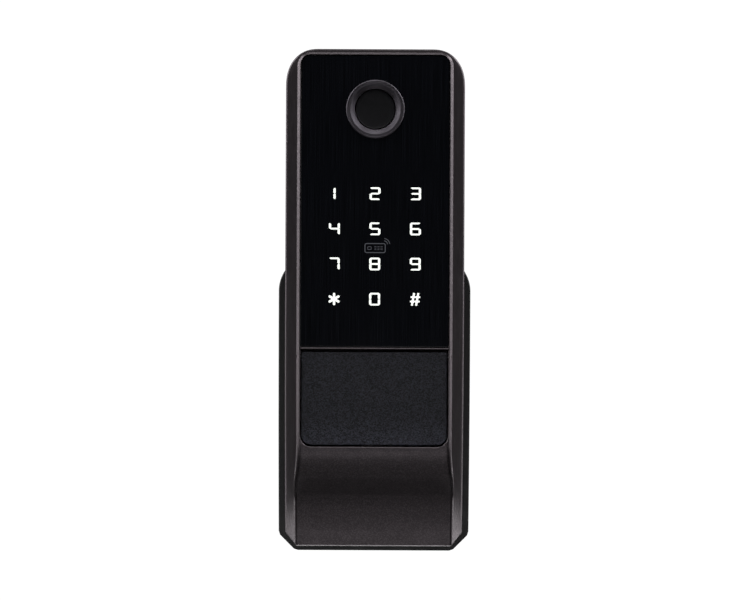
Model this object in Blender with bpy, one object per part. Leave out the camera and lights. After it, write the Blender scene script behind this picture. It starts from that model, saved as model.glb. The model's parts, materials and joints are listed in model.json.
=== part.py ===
"""Outdoor unit of a keypad smart lock, as an assembly of separate solids.

Frame: +X to the right, +Z up, and the front of the lock faces -Y. The surface of the door is the
plane y = 0, and the origin lies on it behind the middle of the housing. A depth is a distance out
of the door, so depth d is y = -d, and a negative depth is inside the door.
"""
import math

import bmesh
import bpy
from mathutils import Matrix

MM = 0.001
GAP = 0.3 * MM                      # between pieces that touch in the real lock

# Housing: a die-cast shell, open at the back
RIM_HALF_WIDTH = 32.5 * MM
RIM_TOP = 90.2 * MM
RIM_BOTTOM = -90.2 * MM
RIM_CORNER = (11.5 * MM, 13.5 * MM)  # top corners, along X and Z
RIM_CORNER_POWER = 2.2               # 2 is an ellipse, and more is squarer
RIM_CHAMFER = 4.7 * MM               # bottom corners
FOOT_TAPER = 0.45 * MM               # each side, at the top of the bottom chamfers
REAR_DEPTH = 3.3 * MM
FLANGE_DEPTH = 4.4 * MM
FLANGE_BEVEL = 0.45 * MM
FRONT_DEPTH = 23.5 * MM
FRONT_HALF_WIDTH = 27.8 * MM
FRONT_TOP = 87.3 * MM
FRONT_BOTTOM = -89.7 * MM
FRONT_CORNER = 4.9 * MM
BEZEL_SIDE = 1.0 * MM                # bevel around the front, at the sides and in depth
BEZEL_TOP = 0.95 * MM
BEZEL_FOOT = 0.4 * MM
LEAST_CORNER = 0.05 * MM

# Scoop: below the key pocket the front sweeps back to a thin foot, bend after bend. Each bend has
# a height and the angle at its lower end, and the last one reaches the foot's edge
SCOOP_START = -54.2 * MM
SCOOP_BENDS = ((10.5 * MM, 42), (6.3 * MM, 42), (4.3 * MM, 14), (14.4 * MM, 0))
SCOOP_FLARE = 1.2 * MM               # each side: the front widens where the scoop gets shallow
SCOOP_FLARE_END = -70.0 * MM

# Front panel and the stack behind it
PANEL_HALF_WIDTH = 26.35 * MM
PANEL_TOP = 86.05 * MM
PANEL_BOTTOM = -17.5 * MM
PANEL_CORNERS = (0.7 * MM, 3.0 * MM)  # bottom and top
PANEL_DEPTHS = (21.7 * MM, 23.3 * MM)
RECESS_FLOOR = 20.7 * MM
RECESS_MARGIN = 0.25 * MM
WINDOW_HALF_WIDTH = 23.2 * MM
WINDOW_BOTTOM = -14.0 * MM
WINDOW_TOP = 83.6 * MM
GUIDE_DEPTHS = (18.2 * MM, 21.4 * MM)
TOUCH_BOARD_DEPTHS = (16.3 * MM, 17.9 * MM)
MAIN_BOARD_DEPTHS = (8.0 * MM, 9.6 * MM)
MAIN_BOARD_HALF_WIDTH = 21.8 * MM
MAIN_BOARD_SPAN = (-6 * MM, 52 * MM)
BOARD_HALF_WIDTH = 22.7 * MM

# Keys
KEY_NAMES = ("1", "2", "3", "4", "5", "6", "7", "8", "9", "star", "0", "hash")
KEY_COLUMN_PITCH = 14.4 * MM
KEY_ROW_PITCH = 12.5 * MM
KEY_TOP_ROW = 36.95 * MM

# Fingerprint reader
READER_HEIGHT = 67.0 * MM
READER_RING_RADIUS = 10.6 * MM
READER_BARREL_RADIUS = 8.6 * MM
READER_BORE_RADIUS = 7.3 * MM
READER_PROUD = 0.6 * MM

# Key pocket and its cover
POCKET_HALF_WIDTH = 26.35 * MM
POCKET_TOP = -18.4 * MM
POCKET_BOTTOM = -53.1 * MM
POCKET_CORNERS = (4.1 * MM, 0.5 * MM)
POCKET_FLOOR = 11.5 * MM
COVER_HALF_WIDTH = 25.9 * MM
COVER_TOP = -19.5 * MM
COVER_BOTTOM = -52.45 * MM
COVER_CORNERS = (3.6 * MM, 0.4 * MM)
COVER_DEPTHS = (20.9 * MM, 23.3 * MM)
HINGE_HEIGHT = -21.0 * MM
HINGE_DEPTH = 21.7 * MM
HINGE_BARREL_RADIUS = 1.6 * MM
HINGE_PIN_RADIUS = 0.85 * MM
HINGE_PIN_HALF_LENGTH = 27.3 * MM
MAGNET_HEIGHT = -50.0 * MM
MAGNET_RADIUS = 1.8 * MM
CATCH_DEPTHS = (18.8 * MM, 20.0 * MM)
CATCH_BLOCK_HALF_WIDTH = 4 * MM
CATCH_BLOCK_TOP = -46.9 * MM
CATCH_BLOCK_FRONT = 20.3 * MM

# Lock cylinder
CYLINDER_HEIGHT = -35.5 * MM
CYLINDER_RADIUS = 9.5 * MM
CYLINDER_DEPTHS = (-14.0 * MM, 13.3 * MM)
PLUG_HEIGHT = -37.3 * MM
PLUG_RADIUS = 6.2 * MM
PLUG_DEPTHS = (-16.0 * MM, 13.8 * MM)
KEYWAY_TOP = -33.9 * MM
PIN_RADIUS = 1.0 * MM
PIN_DEPTHS = (8 * MM, 4 * MM, 0, -4 * MM)
TAIL_END = -45.0 * MM

# Emergency power port
PORT_PLACE = (18 * MM, -36 * MM)
PORT_SHELL = (1.7 * MM, 4.6 * MM)    # half width and half height
PORT_DEPTHS = (7.2 * MM, 12.8 * MM)

# Cavity, rear cover and what passes through them
CAVITY_HALF_WIDTHS = (29.6 * MM, 25.8 * MM)  # at the back and at the front
CAVITY_TOPS = (87.0 * MM, 83.9 * MM)
CAVITY_BOTTOM = -68.0 * MM
CAVITY_FRONT = 18.2 * MM
CAVITY_STEP = -16.2 * MM             # wall above the pocket
REAR_COVER_DEPTHS = (3.6 * MM, 5.1 * MM)
SCREW_PLACES = ((25.6 * MM, 76 * MM), (24.5 * MM, -60 * MM))
SCREW_BOSS_RADIUS = 2.6 * MM
SCREW_RADIUS = 1.2 * MM
POST_HEIGHTS = {"upper": 67 * MM, "lower": -60.5 * MM}
POST_RADIUS = 4.0 * MM
POST_END = -24.0 * MM
GROMMET_PLACE = (-15 * MM, -12 * MM)
TAMPER_PLACE = (15 * MM, -58 * MM)
TAMPER_RADIUS = 1.5 * MM

# Base plate and gasket, both against the door
PLATE_DEPTH = 3.0 * MM
PLATE_HALF_WIDTH = 34.85 * MM
PLATE_TOP = 15.6 * MM
PLATE_BOTTOM = -91.9 * MM
PLATE_SHOULDER = 13.2 * MM
PLATE_CHAMFER = 5.85 * MM
PLATE_TAPER = 0.35 * MM

BEHIND = -1 * MM                     # cutters start behind the door's surface
BEYOND = 30 * MM                     # and end in front of the lock


def finish(name, colour, roughness, metallic=0.0):
    """A plain material, made once for each name."""
    material = bpy.data.materials.get(name)
    if material:
        return material
    material = bpy.data.materials.new(name)
    material.use_nodes = True
    shader = material.node_tree.nodes["Principled BSDF"]
    shader.inputs["Base Color"].default_value = (*colour, 1)
    shader.inputs["Roughness"].default_value = roughness
    shader.inputs["Metallic"].default_value = metallic
    material.diffuse_color = (*colour, 1)
    return material


def housing_paint():
    return finish("bronze_paint", (0.035, 0.030, 0.033), 0.42, 0.6)


def black_glass():
    return finish("panel_black", (0.005, 0.005, 0.006), 0.15)


def cover_plastic():
    return finish("cover_plastic", (0.017, 0.018, 0.022), 0.6)


def plate_plastic():
    return finish("plate_black", (0.010, 0.010, 0.011), 0.5)


def rubber():
    return finish("rubber", (0.012, 0.012, 0.012), 0.85)


def sensor_black():
    return finish("sensor_black", (0.008, 0.008, 0.009), 0.45)


def ring_metal():
    return finish("ring_metal", (0.11, 0.10, 0.12), 0.35, 0.9)


def steel():
    return finish("steel", (0.55, 0.55, 0.57), 0.35, 1.0)


def brass():
    return finish("brass", (0.70, 0.52, 0.25), 0.3, 1.0)


def board_green():
    return finish("circuit_board", (0.02, 0.12, 0.05), 0.5)


def white_plastic():
    return finish("white_plastic", (0.8, 0.8, 0.78), 0.4)


def copper():
    return finish("copper", (0.80, 0.38, 0.20), 0.35, 1.0)


def finished(name, mesh, material):
    """Turn a closed bmesh into an object whose faces point out."""
    bmesh.ops.recalc_face_normals(mesh, faces=mesh.faces)
    data = bpy.data.meshes.new(name)
    mesh.to_mesh(data)
    mesh.free()
    data.shade_smooth()
    data.set_sharp_from_angle(angle=math.radians(35))
    piece = bpy.data.objects.new(name, data)
    bpy.context.scene.collection.objects.link(piece)
    if material:
        data.materials.append(material)
    return piece


def loft(name, rings, material):
    """A solid through closed rings of points, closed by strips across its two ends.

    Every ring runs up the right side and down the left side, point for point at the same heights.
    """
    mesh = bmesh.new()
    loops = [[mesh.verts.new(point) for point in ring] for ring in rings]
    count = len(loops[0])
    for lower, upper in zip(loops, loops[1:]):
        for i in range(count):
            after = (i + 1) % count
            mesh.faces.new((lower[i], lower[after], upper[after], upper[i]))
    for loop in (loops[0], loops[-1]):
        for i in range(count // 2 - 1):
            mesh.faces.new((loop[i], loop[i + 1], loop[-2 - i], loop[-1 - i]))
    return finished(name, mesh, material)


def prism(name, outline, depths, material=None):
    """A flat piece: an outline in X and Z, between two depths."""
    return tapered(name, outline, outline, depths, material)


def tapered(name, near_outline, far_outline, depths, material=None):
    """A piece whose outline in X and Z changes evenly between two depths."""
    mesh = bmesh.new()
    near = [mesh.verts.new((x, -depths[0], z)) for x, z in near_outline]
    far = [mesh.verts.new((x, -depths[1], z)) for x, z in far_outline]
    edges = []
    for loop in (near, far):
        mesh.faces.new(loop)
        for pair in zip(loop, loop[1:] + loop[:1]):
            edges.append(mesh.edges.get(pair))
    bmesh.ops.bridge_loops(mesh, edges=edges)
    return finished(name, mesh, material)


def turned(name, profile, centre, material=None, segments=32):
    """A round piece: a profile of (radius, depth) spun about an axis along Y.

    A profile that starts on the axis also ends there. Any other is a closed loop.
    """
    mesh = bmesh.new()
    points = [mesh.verts.new((centre[0] + radius, -depth, centre[1])) for radius, depth in profile]
    edges = [mesh.edges.new(pair) for pair in zip(points, points[1:])]
    if profile[0][0] > 0:
        edges.append(mesh.edges.new((points[-1], points[0])))
    bmesh.ops.spin(
        mesh,
        geom=points + edges,
        cent=(centre[0], 0, centre[1]),
        axis=(0, 1, 0),
        angle=2 * math.pi,
        steps=segments,
    )
    bmesh.ops.remove_doubles(mesh, verts=mesh.verts, dist=1e-7)
    return finished(name, mesh, material)


def disc(name, radius, depths, centre, material=None, segments=32):
    """A plain cylinder along Y."""
    profile = ((0, depths[0]), (radius, depths[0]), (radius, depths[1]), (0, depths[1]))
    return turned(name, profile, centre, material, segments)


def washer(name, radii, depths, centre, material=None, segments=32):
    """A flat ring along Y."""
    inner, outer = radii
    profile = ((inner, depths[0]), (outer, depths[0]), (outer, depths[1]), (inner, depths[1]))
    return turned(name, profile, centre, material, segments)


def rod(name, radius, half_length, height, depth, material=None, segments=24):
    """A cylinder along X, centred on the lock's middle plane."""
    mesh = bmesh.new()
    place = Matrix.Translation((0, -depth, height)) @ Matrix.Rotation(math.pi / 2, 4, "Y")
    bmesh.ops.create_cone(
        mesh,
        cap_ends=True,
        segments=segments,
        radius1=radius,
        radius2=radius,
        depth=2 * half_length,
        matrix=place,
    )
    return finished(name, mesh, material)


def upright_pin(name, radius, heights, depth, material=None, segments=16):
    """A cylinder along Z on the lock's middle plane."""
    mesh = bmesh.new()
    low, high = heights
    bmesh.ops.create_cone(
        mesh,
        cap_ends=True,
        segments=segments,
        radius1=radius,
        radius2=radius,
        depth=high - low,
        matrix=Matrix.Translation((0, -depth, (low + high) / 2)),
    )
    return finished(name, mesh, material)


def block(name, centre, halves, depths, material=None):
    """A box, by the centre and half sizes of its outline and its two depths."""
    return prism(name, rectangle(centre, halves), depths, material)


def boolean(target, tool, operation):
    tool.hide_render = True
    tool.display_type = "WIRE"
    modifier = target.modifiers.new(tool.name, "BOOLEAN")
    modifier.operation = operation
    modifier.solver = "EXACT"
    modifier.object = tool


def cut(target, *tools):
    for tool in tools:
        boolean(target, tool, "DIFFERENCE")


def add(target, *tools):
    for tool in tools:
        boolean(target, tool, "UNION")


def arc(centre, radii, start, end, steps):
    """Points on part of an ellipse, angles in degrees from +X towards +Z."""
    points = []
    for i in range(steps + 1):
        angle = math.radians(start + (end - start) * i / steps)
        points.append((centre[0] + radii[0] * math.cos(angle), centre[1] + radii[1] * math.sin(angle)))
    return points


def mirrored(right_side):
    """A closed outline from its right side, which runs upwards."""
    return right_side + [(-x, z) for x, z in reversed(right_side)]


def rectangle(centre, halves):
    x, z = centre
    return [(x + i * halves[0], z + j * halves[1]) for i, j in ((1, -1), (1, 1), (-1, 1), (-1, -1))]


def rounded_outline(half_width, low, high, corners, steps=5):
    """An outline that is symmetric in X, with one radius for its low corners and one for its high."""
    low_radius, high_radius = corners
    low_centre = (half_width - low_radius, low + low_radius)
    high_centre = (half_width - high_radius, high - high_radius)
    right = arc(low_centre, (low_radius, low_radius), -90, 0, steps)
    right += arc(high_centre, (high_radius, high_radius), 0, 90, steps)
    return mirrored(right)


def spread(first, last, count):
    return [first + (last - first) * i / (count - 1) for i in range(count)]


def scoop_drop(z):
    """How far the front has swept back below the key pocket, at height z."""
    left = max(0.0, SCOOP_START - z)
    drop = 0.0
    angle = 0.0
    for height, end in SCOOP_BENDS:
        end = math.radians(end)
        part = min(left, height)
        if end == angle:
            drop += part * math.tan(angle)
        else:
            radius = height / (math.sin(end) - math.sin(angle))
            reached = math.asin(math.sin(angle) + part / radius)
            drop += radius * (math.cos(angle) - math.cos(reached))
        left -= part
        angle = end
    return drop


def front_depth(z):
    return FRONT_DEPTH - scoop_drop(z)


def foot_taper(z, amount):
    """How much each side has drawn in at height z, below the middle of the lock."""
    low = RIM_BOTTOM + RIM_CHAMFER
    return amount * (min(z, 0.0) / low) ** 2


def side_heights():
    """Heights at which the housing's side is sampled, close together around the scoop."""
    heights = spread(-82.5 * MM, SCOOP_START + 1 * MM, 18)
    heights += spread(-35 * MM, RIM_TOP - RIM_CORNER[1], 4)
    return heights


def foot_corner(half_width, low):
    """Both ends of the straight cut across a bottom corner, for any layer of the housing."""
    cut_sum = RIM_HALF_WIDTH - FOOT_TAPER - RIM_BOTTOM - RIM_CHAMFER
    cut_start = min(cut_sum + low, half_width - LEAST_CORNER)
    cut_end = max(half_width - cut_sum, low + LEAST_CORNER)
    return [(cut_start, low), (half_width, cut_end)]


def squared_arc(centre, radii, power, steps):
    """A quarter of a squared ellipse, from its right side to its top."""
    points = []
    for i in range(1, steps + 1):
        angle = math.pi / 2 * i / steps
        x = abs(math.cos(angle)) ** (2 / power)
        z = math.sin(angle) ** (2 / power)
        points.append((centre[0] + radii[0] * x, centre[1] + radii[1] * z))
    return points


def rim_ring(inset, depth):
    """Outline of the housing's rim, drawn in by inset."""
    right = foot_corner(RIM_HALF_WIDTH - FOOT_TAPER - inset, RIM_BOTTOM + inset)
    for z in side_heights():
        right.append((RIM_HALF_WIDTH - foot_taper(z, FOOT_TAPER) - inset, z))
    centre = (RIM_HALF_WIDTH - RIM_CORNER[0], RIM_TOP - RIM_CORNER[1])
    radii = (RIM_CORNER[0] - inset, RIM_CORNER[1] - inset)
    right += squared_arc(centre, radii, RIM_CORNER_POWER, 10)
    return [(x, -depth, z) for x, z in mirrored(right)]


def edge_half_width(z):
    """Half width of the front at height z."""
    share = (SCOOP_START - z) / (SCOOP_START - SCOOP_FLARE_END)
    share = min(max(share, 0.0), 1.0)
    flare = SCOOP_FLARE * share * share * (3 - 2 * share)
    return FRONT_HALF_WIDTH + flare - foot_taper(z, FOOT_TAPER)


def front_ring(side_inset, top_inset, foot_inset, sink):
    """Outline of the housing's front, which follows the scoop at a distance sink behind it."""
    corner = FRONT_CORNER - side_inset
    low = FRONT_BOTTOM + foot_inset
    top = FRONT_TOP - top_inset
    right = foot_corner(edge_half_width(low) - side_inset, low)
    right += [(edge_half_width(z) - side_inset, z) for z in side_heights()[:-1]]
    half_width = FRONT_HALF_WIDTH - side_inset
    right += arc((half_width - corner, top - corner), (corner, corner), 0, 90, 10)
    return [(x, -front_depth(z) + sink, z) for x, z in mirrored(right)]


def make_housing():
    rings = (
        rim_ring(0, REAR_DEPTH),
        rim_ring(0, FLANGE_DEPTH),
        rim_ring(FLANGE_BEVEL, FLANGE_DEPTH + FLANGE_BEVEL),
        front_ring(0, 0, 0, BEZEL_SIDE),
        front_ring(BEZEL_SIDE, BEZEL_TOP, BEZEL_FOOT, 0),
    )
    housing = loft("housing", rings, housing_paint())
    cut(housing, *front_cutters(), *cavity_cutters())
    add(housing, *housing_bosses())
    cut(housing, *housing_holes())
    return housing


def front_cutters():
    recess = rounded_outline(
        PANEL_HALF_WIDTH + RECESS_MARGIN,
        PANEL_BOTTOM - RECESS_MARGIN,
        PANEL_TOP + RECESS_MARGIN,
        [radius + RECESS_MARGIN for radius in PANEL_CORNERS],
    )
    window = rounded_outline(WINDOW_HALF_WIDTH, WINDOW_BOTTOM, WINDOW_TOP, (0.5 * MM, 0.5 * MM), 2)
    pocket = rounded_outline(POCKET_HALF_WIDTH, POCKET_BOTTOM, POCKET_TOP, POCKET_CORNERS)
    return (
        prism("cut_recess", recess, (RECESS_FLOOR, BEYOND)),
        prism("cut_window", window, (CAVITY_FRONT - 1 * MM, RECESS_FLOOR + 1 * MM)),
        prism("cut_pocket", pocket, (POCKET_FLOOR, BEYOND)),
    )


def cavity_cutters():
    """The hollow inside: deep behind the panel, and shallow behind the pocket and the scoop."""
    back, front = CAVITY_HALF_WIDTHS
    shallow = POCKET_FLOOR - 2 * MM
    depths = (REAR_DEPTH - 1 * MM, CAVITY_FRONT)
    low = CAVITY_STEP
    deep_back = rounded_outline(back, low, CAVITY_TOPS[0], (1 * MM, 9.5 * MM))
    deep_front = rounded_outline(front, low, CAVITY_TOPS[1], (1 * MM, 4.5 * MM))
    high = CAVITY_STEP + 5 * MM
    low_back = rounded_outline(back - 1.2 * MM, CAVITY_BOTTOM, high, (3 * MM, 0.5 * MM))
    low_front = rounded_outline(back - 2.4 * MM, CAVITY_BOTTOM + 1 * MM, high, (3 * MM, 0.5 * MM))
    return (
        tapered("cut_deep_cavity", deep_back, deep_front, depths),
        tapered("cut_low_cavity", low_back, low_front, (depths[0], shallow)),
    )


def screw_places():
    return [(side * x, z) for x, z in SCREW_PLACES for side in (-1, 1)]


def housing_bosses():
    """Screw bosses, which grow out of the walls, and the block that holds the catch magnet."""
    start = REAR_COVER_DEPTHS[1] + GAP
    bosses = []
    for number, place in enumerate(screw_places(), 1):
        end = CAVITY_FRONT + 1 * MM if place[1] > 0 else POCKET_FLOOR
        bosses.append(disc(f"boss_{number}", SCREW_BOSS_RADIUS, (start, end), place, segments=16))
    low = POCKET_BOTTOM - 1 * MM
    centre = (0, (low + CATCH_BLOCK_TOP) / 2)
    halves = (CATCH_BLOCK_HALF_WIDTH, (CATCH_BLOCK_TOP - low) / 2)
    bosses.append(block("catch_block", centre, halves, (POCKET_FLOOR - 1 * MM, CATCH_BLOCK_FRONT)))
    return bosses


def housing_holes():
    radius = SCREW_RADIUS + GAP
    holes = []
    for number, place in enumerate(screw_places(), 1):
        holes.append(disc(f"pilot_{number}", radius, (BEHIND, 11 * MM), place, segments=12))
    through = (BEHIND, POCKET_FLOOR + 1 * MM)
    cylinder = (0, CYLINDER_HEIGHT)
    holes.append(disc("cut_cylinder", CYLINDER_RADIUS + GAP, through, cylinder))
    port = [half + GAP for half in PORT_SHELL]
    holes.append(block("cut_port", PORT_PLACE, port, through))
    magnet = (0, MAGNET_HEIGHT)
    holes.append(disc("cut_catch", MAGNET_RADIUS + GAP, (CATCH_DEPTHS[0] - GAP, BEYOND), magnet, segments=20))
    reach = HINGE_PIN_HALF_LENGTH + GAP
    hinge = (HINGE_HEIGHT, HINGE_DEPTH)
    holes.append(rod("cut_hinge", HINGE_PIN_RADIUS + GAP, reach, *hinge, segments=16))
    return holes


def make_panel():
    outline = rounded_outline(PANEL_HALF_WIDTH, PANEL_BOTTOM, PANEL_TOP, PANEL_CORNERS)
    panel = prism("front_panel", outline, PANEL_DEPTHS, black_glass())
    hole = disc("cut_panel", READER_BARREL_RADIUS + GAP, (BEHIND, BEYOND), (0, READER_HEIGHT))
    cut(panel, hole)


def make_panel_adhesive():
    depths = (RECESS_FLOOR + GAP / 2, PANEL_DEPTHS[0] - GAP)
    margin = 0.1 * MM
    outline = rounded_outline(
        PANEL_HALF_WIDTH - margin, PANEL_BOTTOM + margin, PANEL_TOP - margin, PANEL_CORNERS
    )
    frame = prism("panel_adhesive", outline, depths, rubber())
    inner = rounded_outline(
        WINDOW_HALF_WIDTH + GAP, WINDOW_BOTTOM - GAP, WINDOW_TOP + GAP, (1 * MM, 1 * MM), 2
    )
    cut(frame, prism("cut_adhesive", inner, (BEHIND, BEYOND)))


def key_places():
    """Centre of each key, row by row from the top left."""
    places = []
    for index in range(len(KEY_NAMES)):
        row, column = divmod(index, 3)
        places.append(((column - 1) * KEY_COLUMN_PITCH, KEY_TOP_ROW - row * KEY_ROW_PITCH))
    return places


def make_light_guide():
    """Opaque frame with a shaft for the light behind each key."""
    half_width = WINDOW_HALF_WIDTH - GAP
    outline = rounded_outline(
        half_width, WINDOW_BOTTOM + GAP, WINDOW_TOP - GAP, (0.5 * MM, 0.5 * MM), 2
    )
    guide = prism("light_guide", outline, GUIDE_DEPTHS, white_plastic())
    place = (0, READER_HEIGHT)
    cut(guide, disc("cut_guide", READER_BARREL_RADIUS + GAP, (BEHIND, BEYOND), place))
    for name, key in zip(KEY_NAMES, key_places()):
        cut(guide, disc(f"shaft_{name}", 3.4 * MM, (BEHIND, BEYOND), key, segments=12))


def make_boards():
    low, high = WINDOW_BOTTOM + GAP, WINDOW_TOP - GAP
    outline = rounded_outline(BOARD_HALF_WIDTH, low, high, (1 * MM, 1 * MM), 2)
    touch = prism("touch_board", outline, TOUCH_BOARD_DEPTHS, board_green())
    place = (0, READER_HEIGHT)
    cut(touch, disc("cut_touch_board", READER_BARREL_RADIUS + GAP, (BEHIND, BEYOND), place))
    main = rounded_outline(MAIN_BOARD_HALF_WIDTH, *MAIN_BOARD_SPAN, (1 * MM, 1 * MM), 2)
    board = prism("main_board", main, MAIN_BOARD_DEPTHS, board_green())
    face = (MAIN_BOARD_DEPTHS[1] - 0.5 * MM, MAIN_BOARD_DEPTHS[1] + 1 * MM)
    add(board, block("controller_chip", (-9 * MM, 30 * MM), (5 * MM, 5 * MM), face))
    add(board, block("radio_module", (9 * MM, 38 * MM), (6.5 * MM, 5 * MM), face))
    add(board, block("power_chip", (-12 * MM, 8 * MM), (3 * MM, 2.5 * MM), face))


def make_key_lights():
    depths = (TOUCH_BOARD_DEPTHS[1] + GAP, TOUCH_BOARD_DEPTHS[1] + 1.1 * MM)
    for name, key in zip(KEY_NAMES, key_places()):
        block(f"key_led_{name}", key, (1.6 * MM, 1.0 * MM), depths, white_plastic())


def make_board_fittings():
    """The card antenna, the spacers between the boards, the buzzer and the harness socket."""
    depths = (TOUCH_BOARD_DEPTHS[0] - 1.3 * MM, TOUCH_BOARD_DEPTHS[0] - GAP)
    centre = (0, 17.6 * MM)
    antenna = block("card_antenna", centre, (18 * MM, 15 * MM), depths, copper())
    cut(antenna, block("cut_antenna", centre, (16 * MM, 13 * MM), (BEHIND, BEYOND)))
    between = (MAIN_BOARD_DEPTHS[1] + GAP, TOUCH_BOARD_DEPTHS[0] - GAP)
    for side, name in ((-1, "left"), (1, "right")):
        disc(f"board_spacer_{name}", 2 * MM, between, (side * 19.2 * MM, 47 * MM), brass(), 12)
    sounder = (between[0], between[0] + 3.6 * MM)
    disc("buzzer", 6 * MM, sounder, (10 * MM, 12 * MM), sensor_black(), 24)
    socket = (MAIN_BOARD_DEPTHS[0] - 2.5 * MM, MAIN_BOARD_DEPTHS[0] - GAP)
    block("harness_socket", (-15 * MM, 0), (5 * MM, 3 * MM), socket, white_plastic())


def make_reader():
    """Fingerprint reader: ring, sensing face, module, nut and its flat cable."""
    centre = (0, READER_HEIGHT)
    face = PANEL_DEPTHS[1]
    seat = face + GAP / 3
    top = face + READER_PROUD
    bottom = TOUCH_BOARD_DEPTHS[0] - 3.3 * MM
    profile = (
        (READER_BORE_RADIUS, bottom),
        (READER_BARREL_RADIUS, bottom),
        (READER_BARREL_RADIUS, seat),
        (READER_RING_RADIUS, seat),
        (READER_RING_RADIUS, top - 0.2 * MM),
        (READER_RING_RADIUS - 0.25 * MM, top),
        (8.95 * MM, top),
        (8.2 * MM, top - 0.35 * MM),
        (READER_BORE_RADIUS, face - 0.6 * MM),
    )
    turned("fingerprint_ring", profile, centre, ring_metal(), 64)
    sensor = (face - 2.2 * MM, face - 0.8 * MM)
    radius = READER_BORE_RADIUS - GAP
    disc("fingerprint_sensor", radius, sensor, centre, sensor_black(), 48)
    disc("reader_module", radius, (bottom - 1 * MM, sensor[0] - GAP), centre, white_plastic(), 24)
    nut = (bottom + 0.4 * MM, TOUCH_BOARD_DEPTHS[0] - GAP)
    washer("reader_nut", (READER_BARREL_RADIUS + GAP, 11.4 * MM), nut, centre, brass(), 24)
    make_reader_cable(bottom - 1 * MM - GAP)


def make_reader_cable(start):
    """A flat cable from the module's back to the front of the main board."""
    half = 0.2 * MM
    end = MAIN_BOARD_DEPTHS[1] + GAP + half
    start -= half
    route = ((start, 71 * MM), (start, 58 * MM), (end, 53.5 * MM), (end, 47.5 * MM))
    mesh = bmesh.new()
    outline = [(depth + half, z) for depth, z in route]
    outline += [(depth - half, z) for depth, z in reversed(route)]
    loops = []
    for x in (-3 * MM, 3 * MM):
        loops.append([mesh.verts.new((x, -depth, z)) for depth, z in outline])
    count = len(outline)
    for loop in loops:
        for i in range(count // 2 - 1):
            mesh.faces.new((loop[i], loop[i + 1], loop[-2 - i], loop[-1 - i]))
    for i in range(count):
        after = (i + 1) % count
        mesh.faces.new((loops[0][i], loops[0][after], loops[1][after], loops[1][i]))
    finished("reader_cable", mesh, copper())


def make_key_cover():
    """Flap over the key pocket, with a hinge barrel along its top edge and a magnet at its foot."""
    outline = rounded_outline(COVER_HALF_WIDTH, COVER_BOTTOM, COVER_TOP, COVER_CORNERS)
    cover = prism("key_cover", outline, COVER_DEPTHS, cover_plastic())
    hinge = (HINGE_HEIGHT, HINGE_DEPTH)
    add(cover, rod("cover_barrel", HINGE_BARREL_RADIUS, COVER_HALF_WIDTH - 0.4 * MM, *hinge))
    cut(cover, rod("cut_barrel", HINGE_PIN_RADIUS + GAP, 30 * MM, *hinge, segments=16))
    place = (0, MAGNET_HEIGHT)
    pocket = (BEHIND, COVER_DEPTHS[1] - 0.7 * MM)
    cut(cover, disc("cut_magnet", MAGNET_RADIUS + GAP, pocket, place, segments=20))
    rod("cover_hinge_pin", HINGE_PIN_RADIUS, HINGE_PIN_HALF_LENGTH, *hinge, steel(), 16)
    magnet = (COVER_DEPTHS[0] + 0.2 * MM, pocket[1] - GAP)
    disc("cover_magnet", MAGNET_RADIUS, magnet, place, steel(), 20)
    disc("catch_magnet", MAGNET_RADIUS, CATCH_DEPTHS, place, steel(), 20)
    return cover


def make_cylinder():
    """Lock cylinder: body, nut, and the plug's pins, which stand at the shear line."""
    low, high = CYLINDER_DEPTHS
    centre = (0, CYLINDER_HEIGHT)
    shoulder = POCKET_FLOOR + GAP
    profile = (
        (0, low),
        (CYLINDER_RADIUS, low),
        (CYLINDER_RADIUS, shoulder),
        (CYLINDER_RADIUS + 1.5 * MM, shoulder),
        (CYLINDER_RADIUS + 1.5 * MM, high - 0.3 * MM),
        (CYLINDER_RADIUS + 1.2 * MM, high),
        (0, high),
    )
    body = turned("cylinder_body", profile, centre, brass(), 40)
    plug_centre = (0, PLUG_HEIGHT)
    bore = (low - 1 * MM, BEYOND)
    cut(body, disc("cut_bore", PLUG_RADIUS + GAP, bore, plug_centre))
    floor = POCKET_FLOOR - 2 * MM
    nut = (floor - 2.8 * MM, floor - GAP)
    radii = (CYLINDER_RADIUS + GAP, 12.6 * MM)
    washer("cylinder_nut", radii, nut, centre, steel(), 24)
    plug = make_plug()
    shear = PLUG_HEIGHT + PLUG_RADIUS + GAP / 2
    chamber_top = CYLINDER_HEIGHT + CYLINDER_RADIUS - 1.2 * MM
    for number, depth in enumerate(PIN_DEPTHS, 1):
        chamber = (KEYWAY_TOP - 0.5 * MM, chamber_top)
        hole = upright_pin(f"chamber_{number}", PIN_RADIUS + GAP, chamber, depth)
        cut(body, hole)
        cut(plug, hole)
        key_pin = (KEYWAY_TOP + 0.2 * MM, shear - 0.35 * MM)
        upright_pin(f"key_pin_{number}", PIN_RADIUS, key_pin, depth, brass(), 12)
        driver = (shear + 0.25 * MM, shear + 3.0 * MM)
        upright_pin(f"driver_pin_{number}", PIN_RADIUS, driver, depth, steel(), 12)


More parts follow.
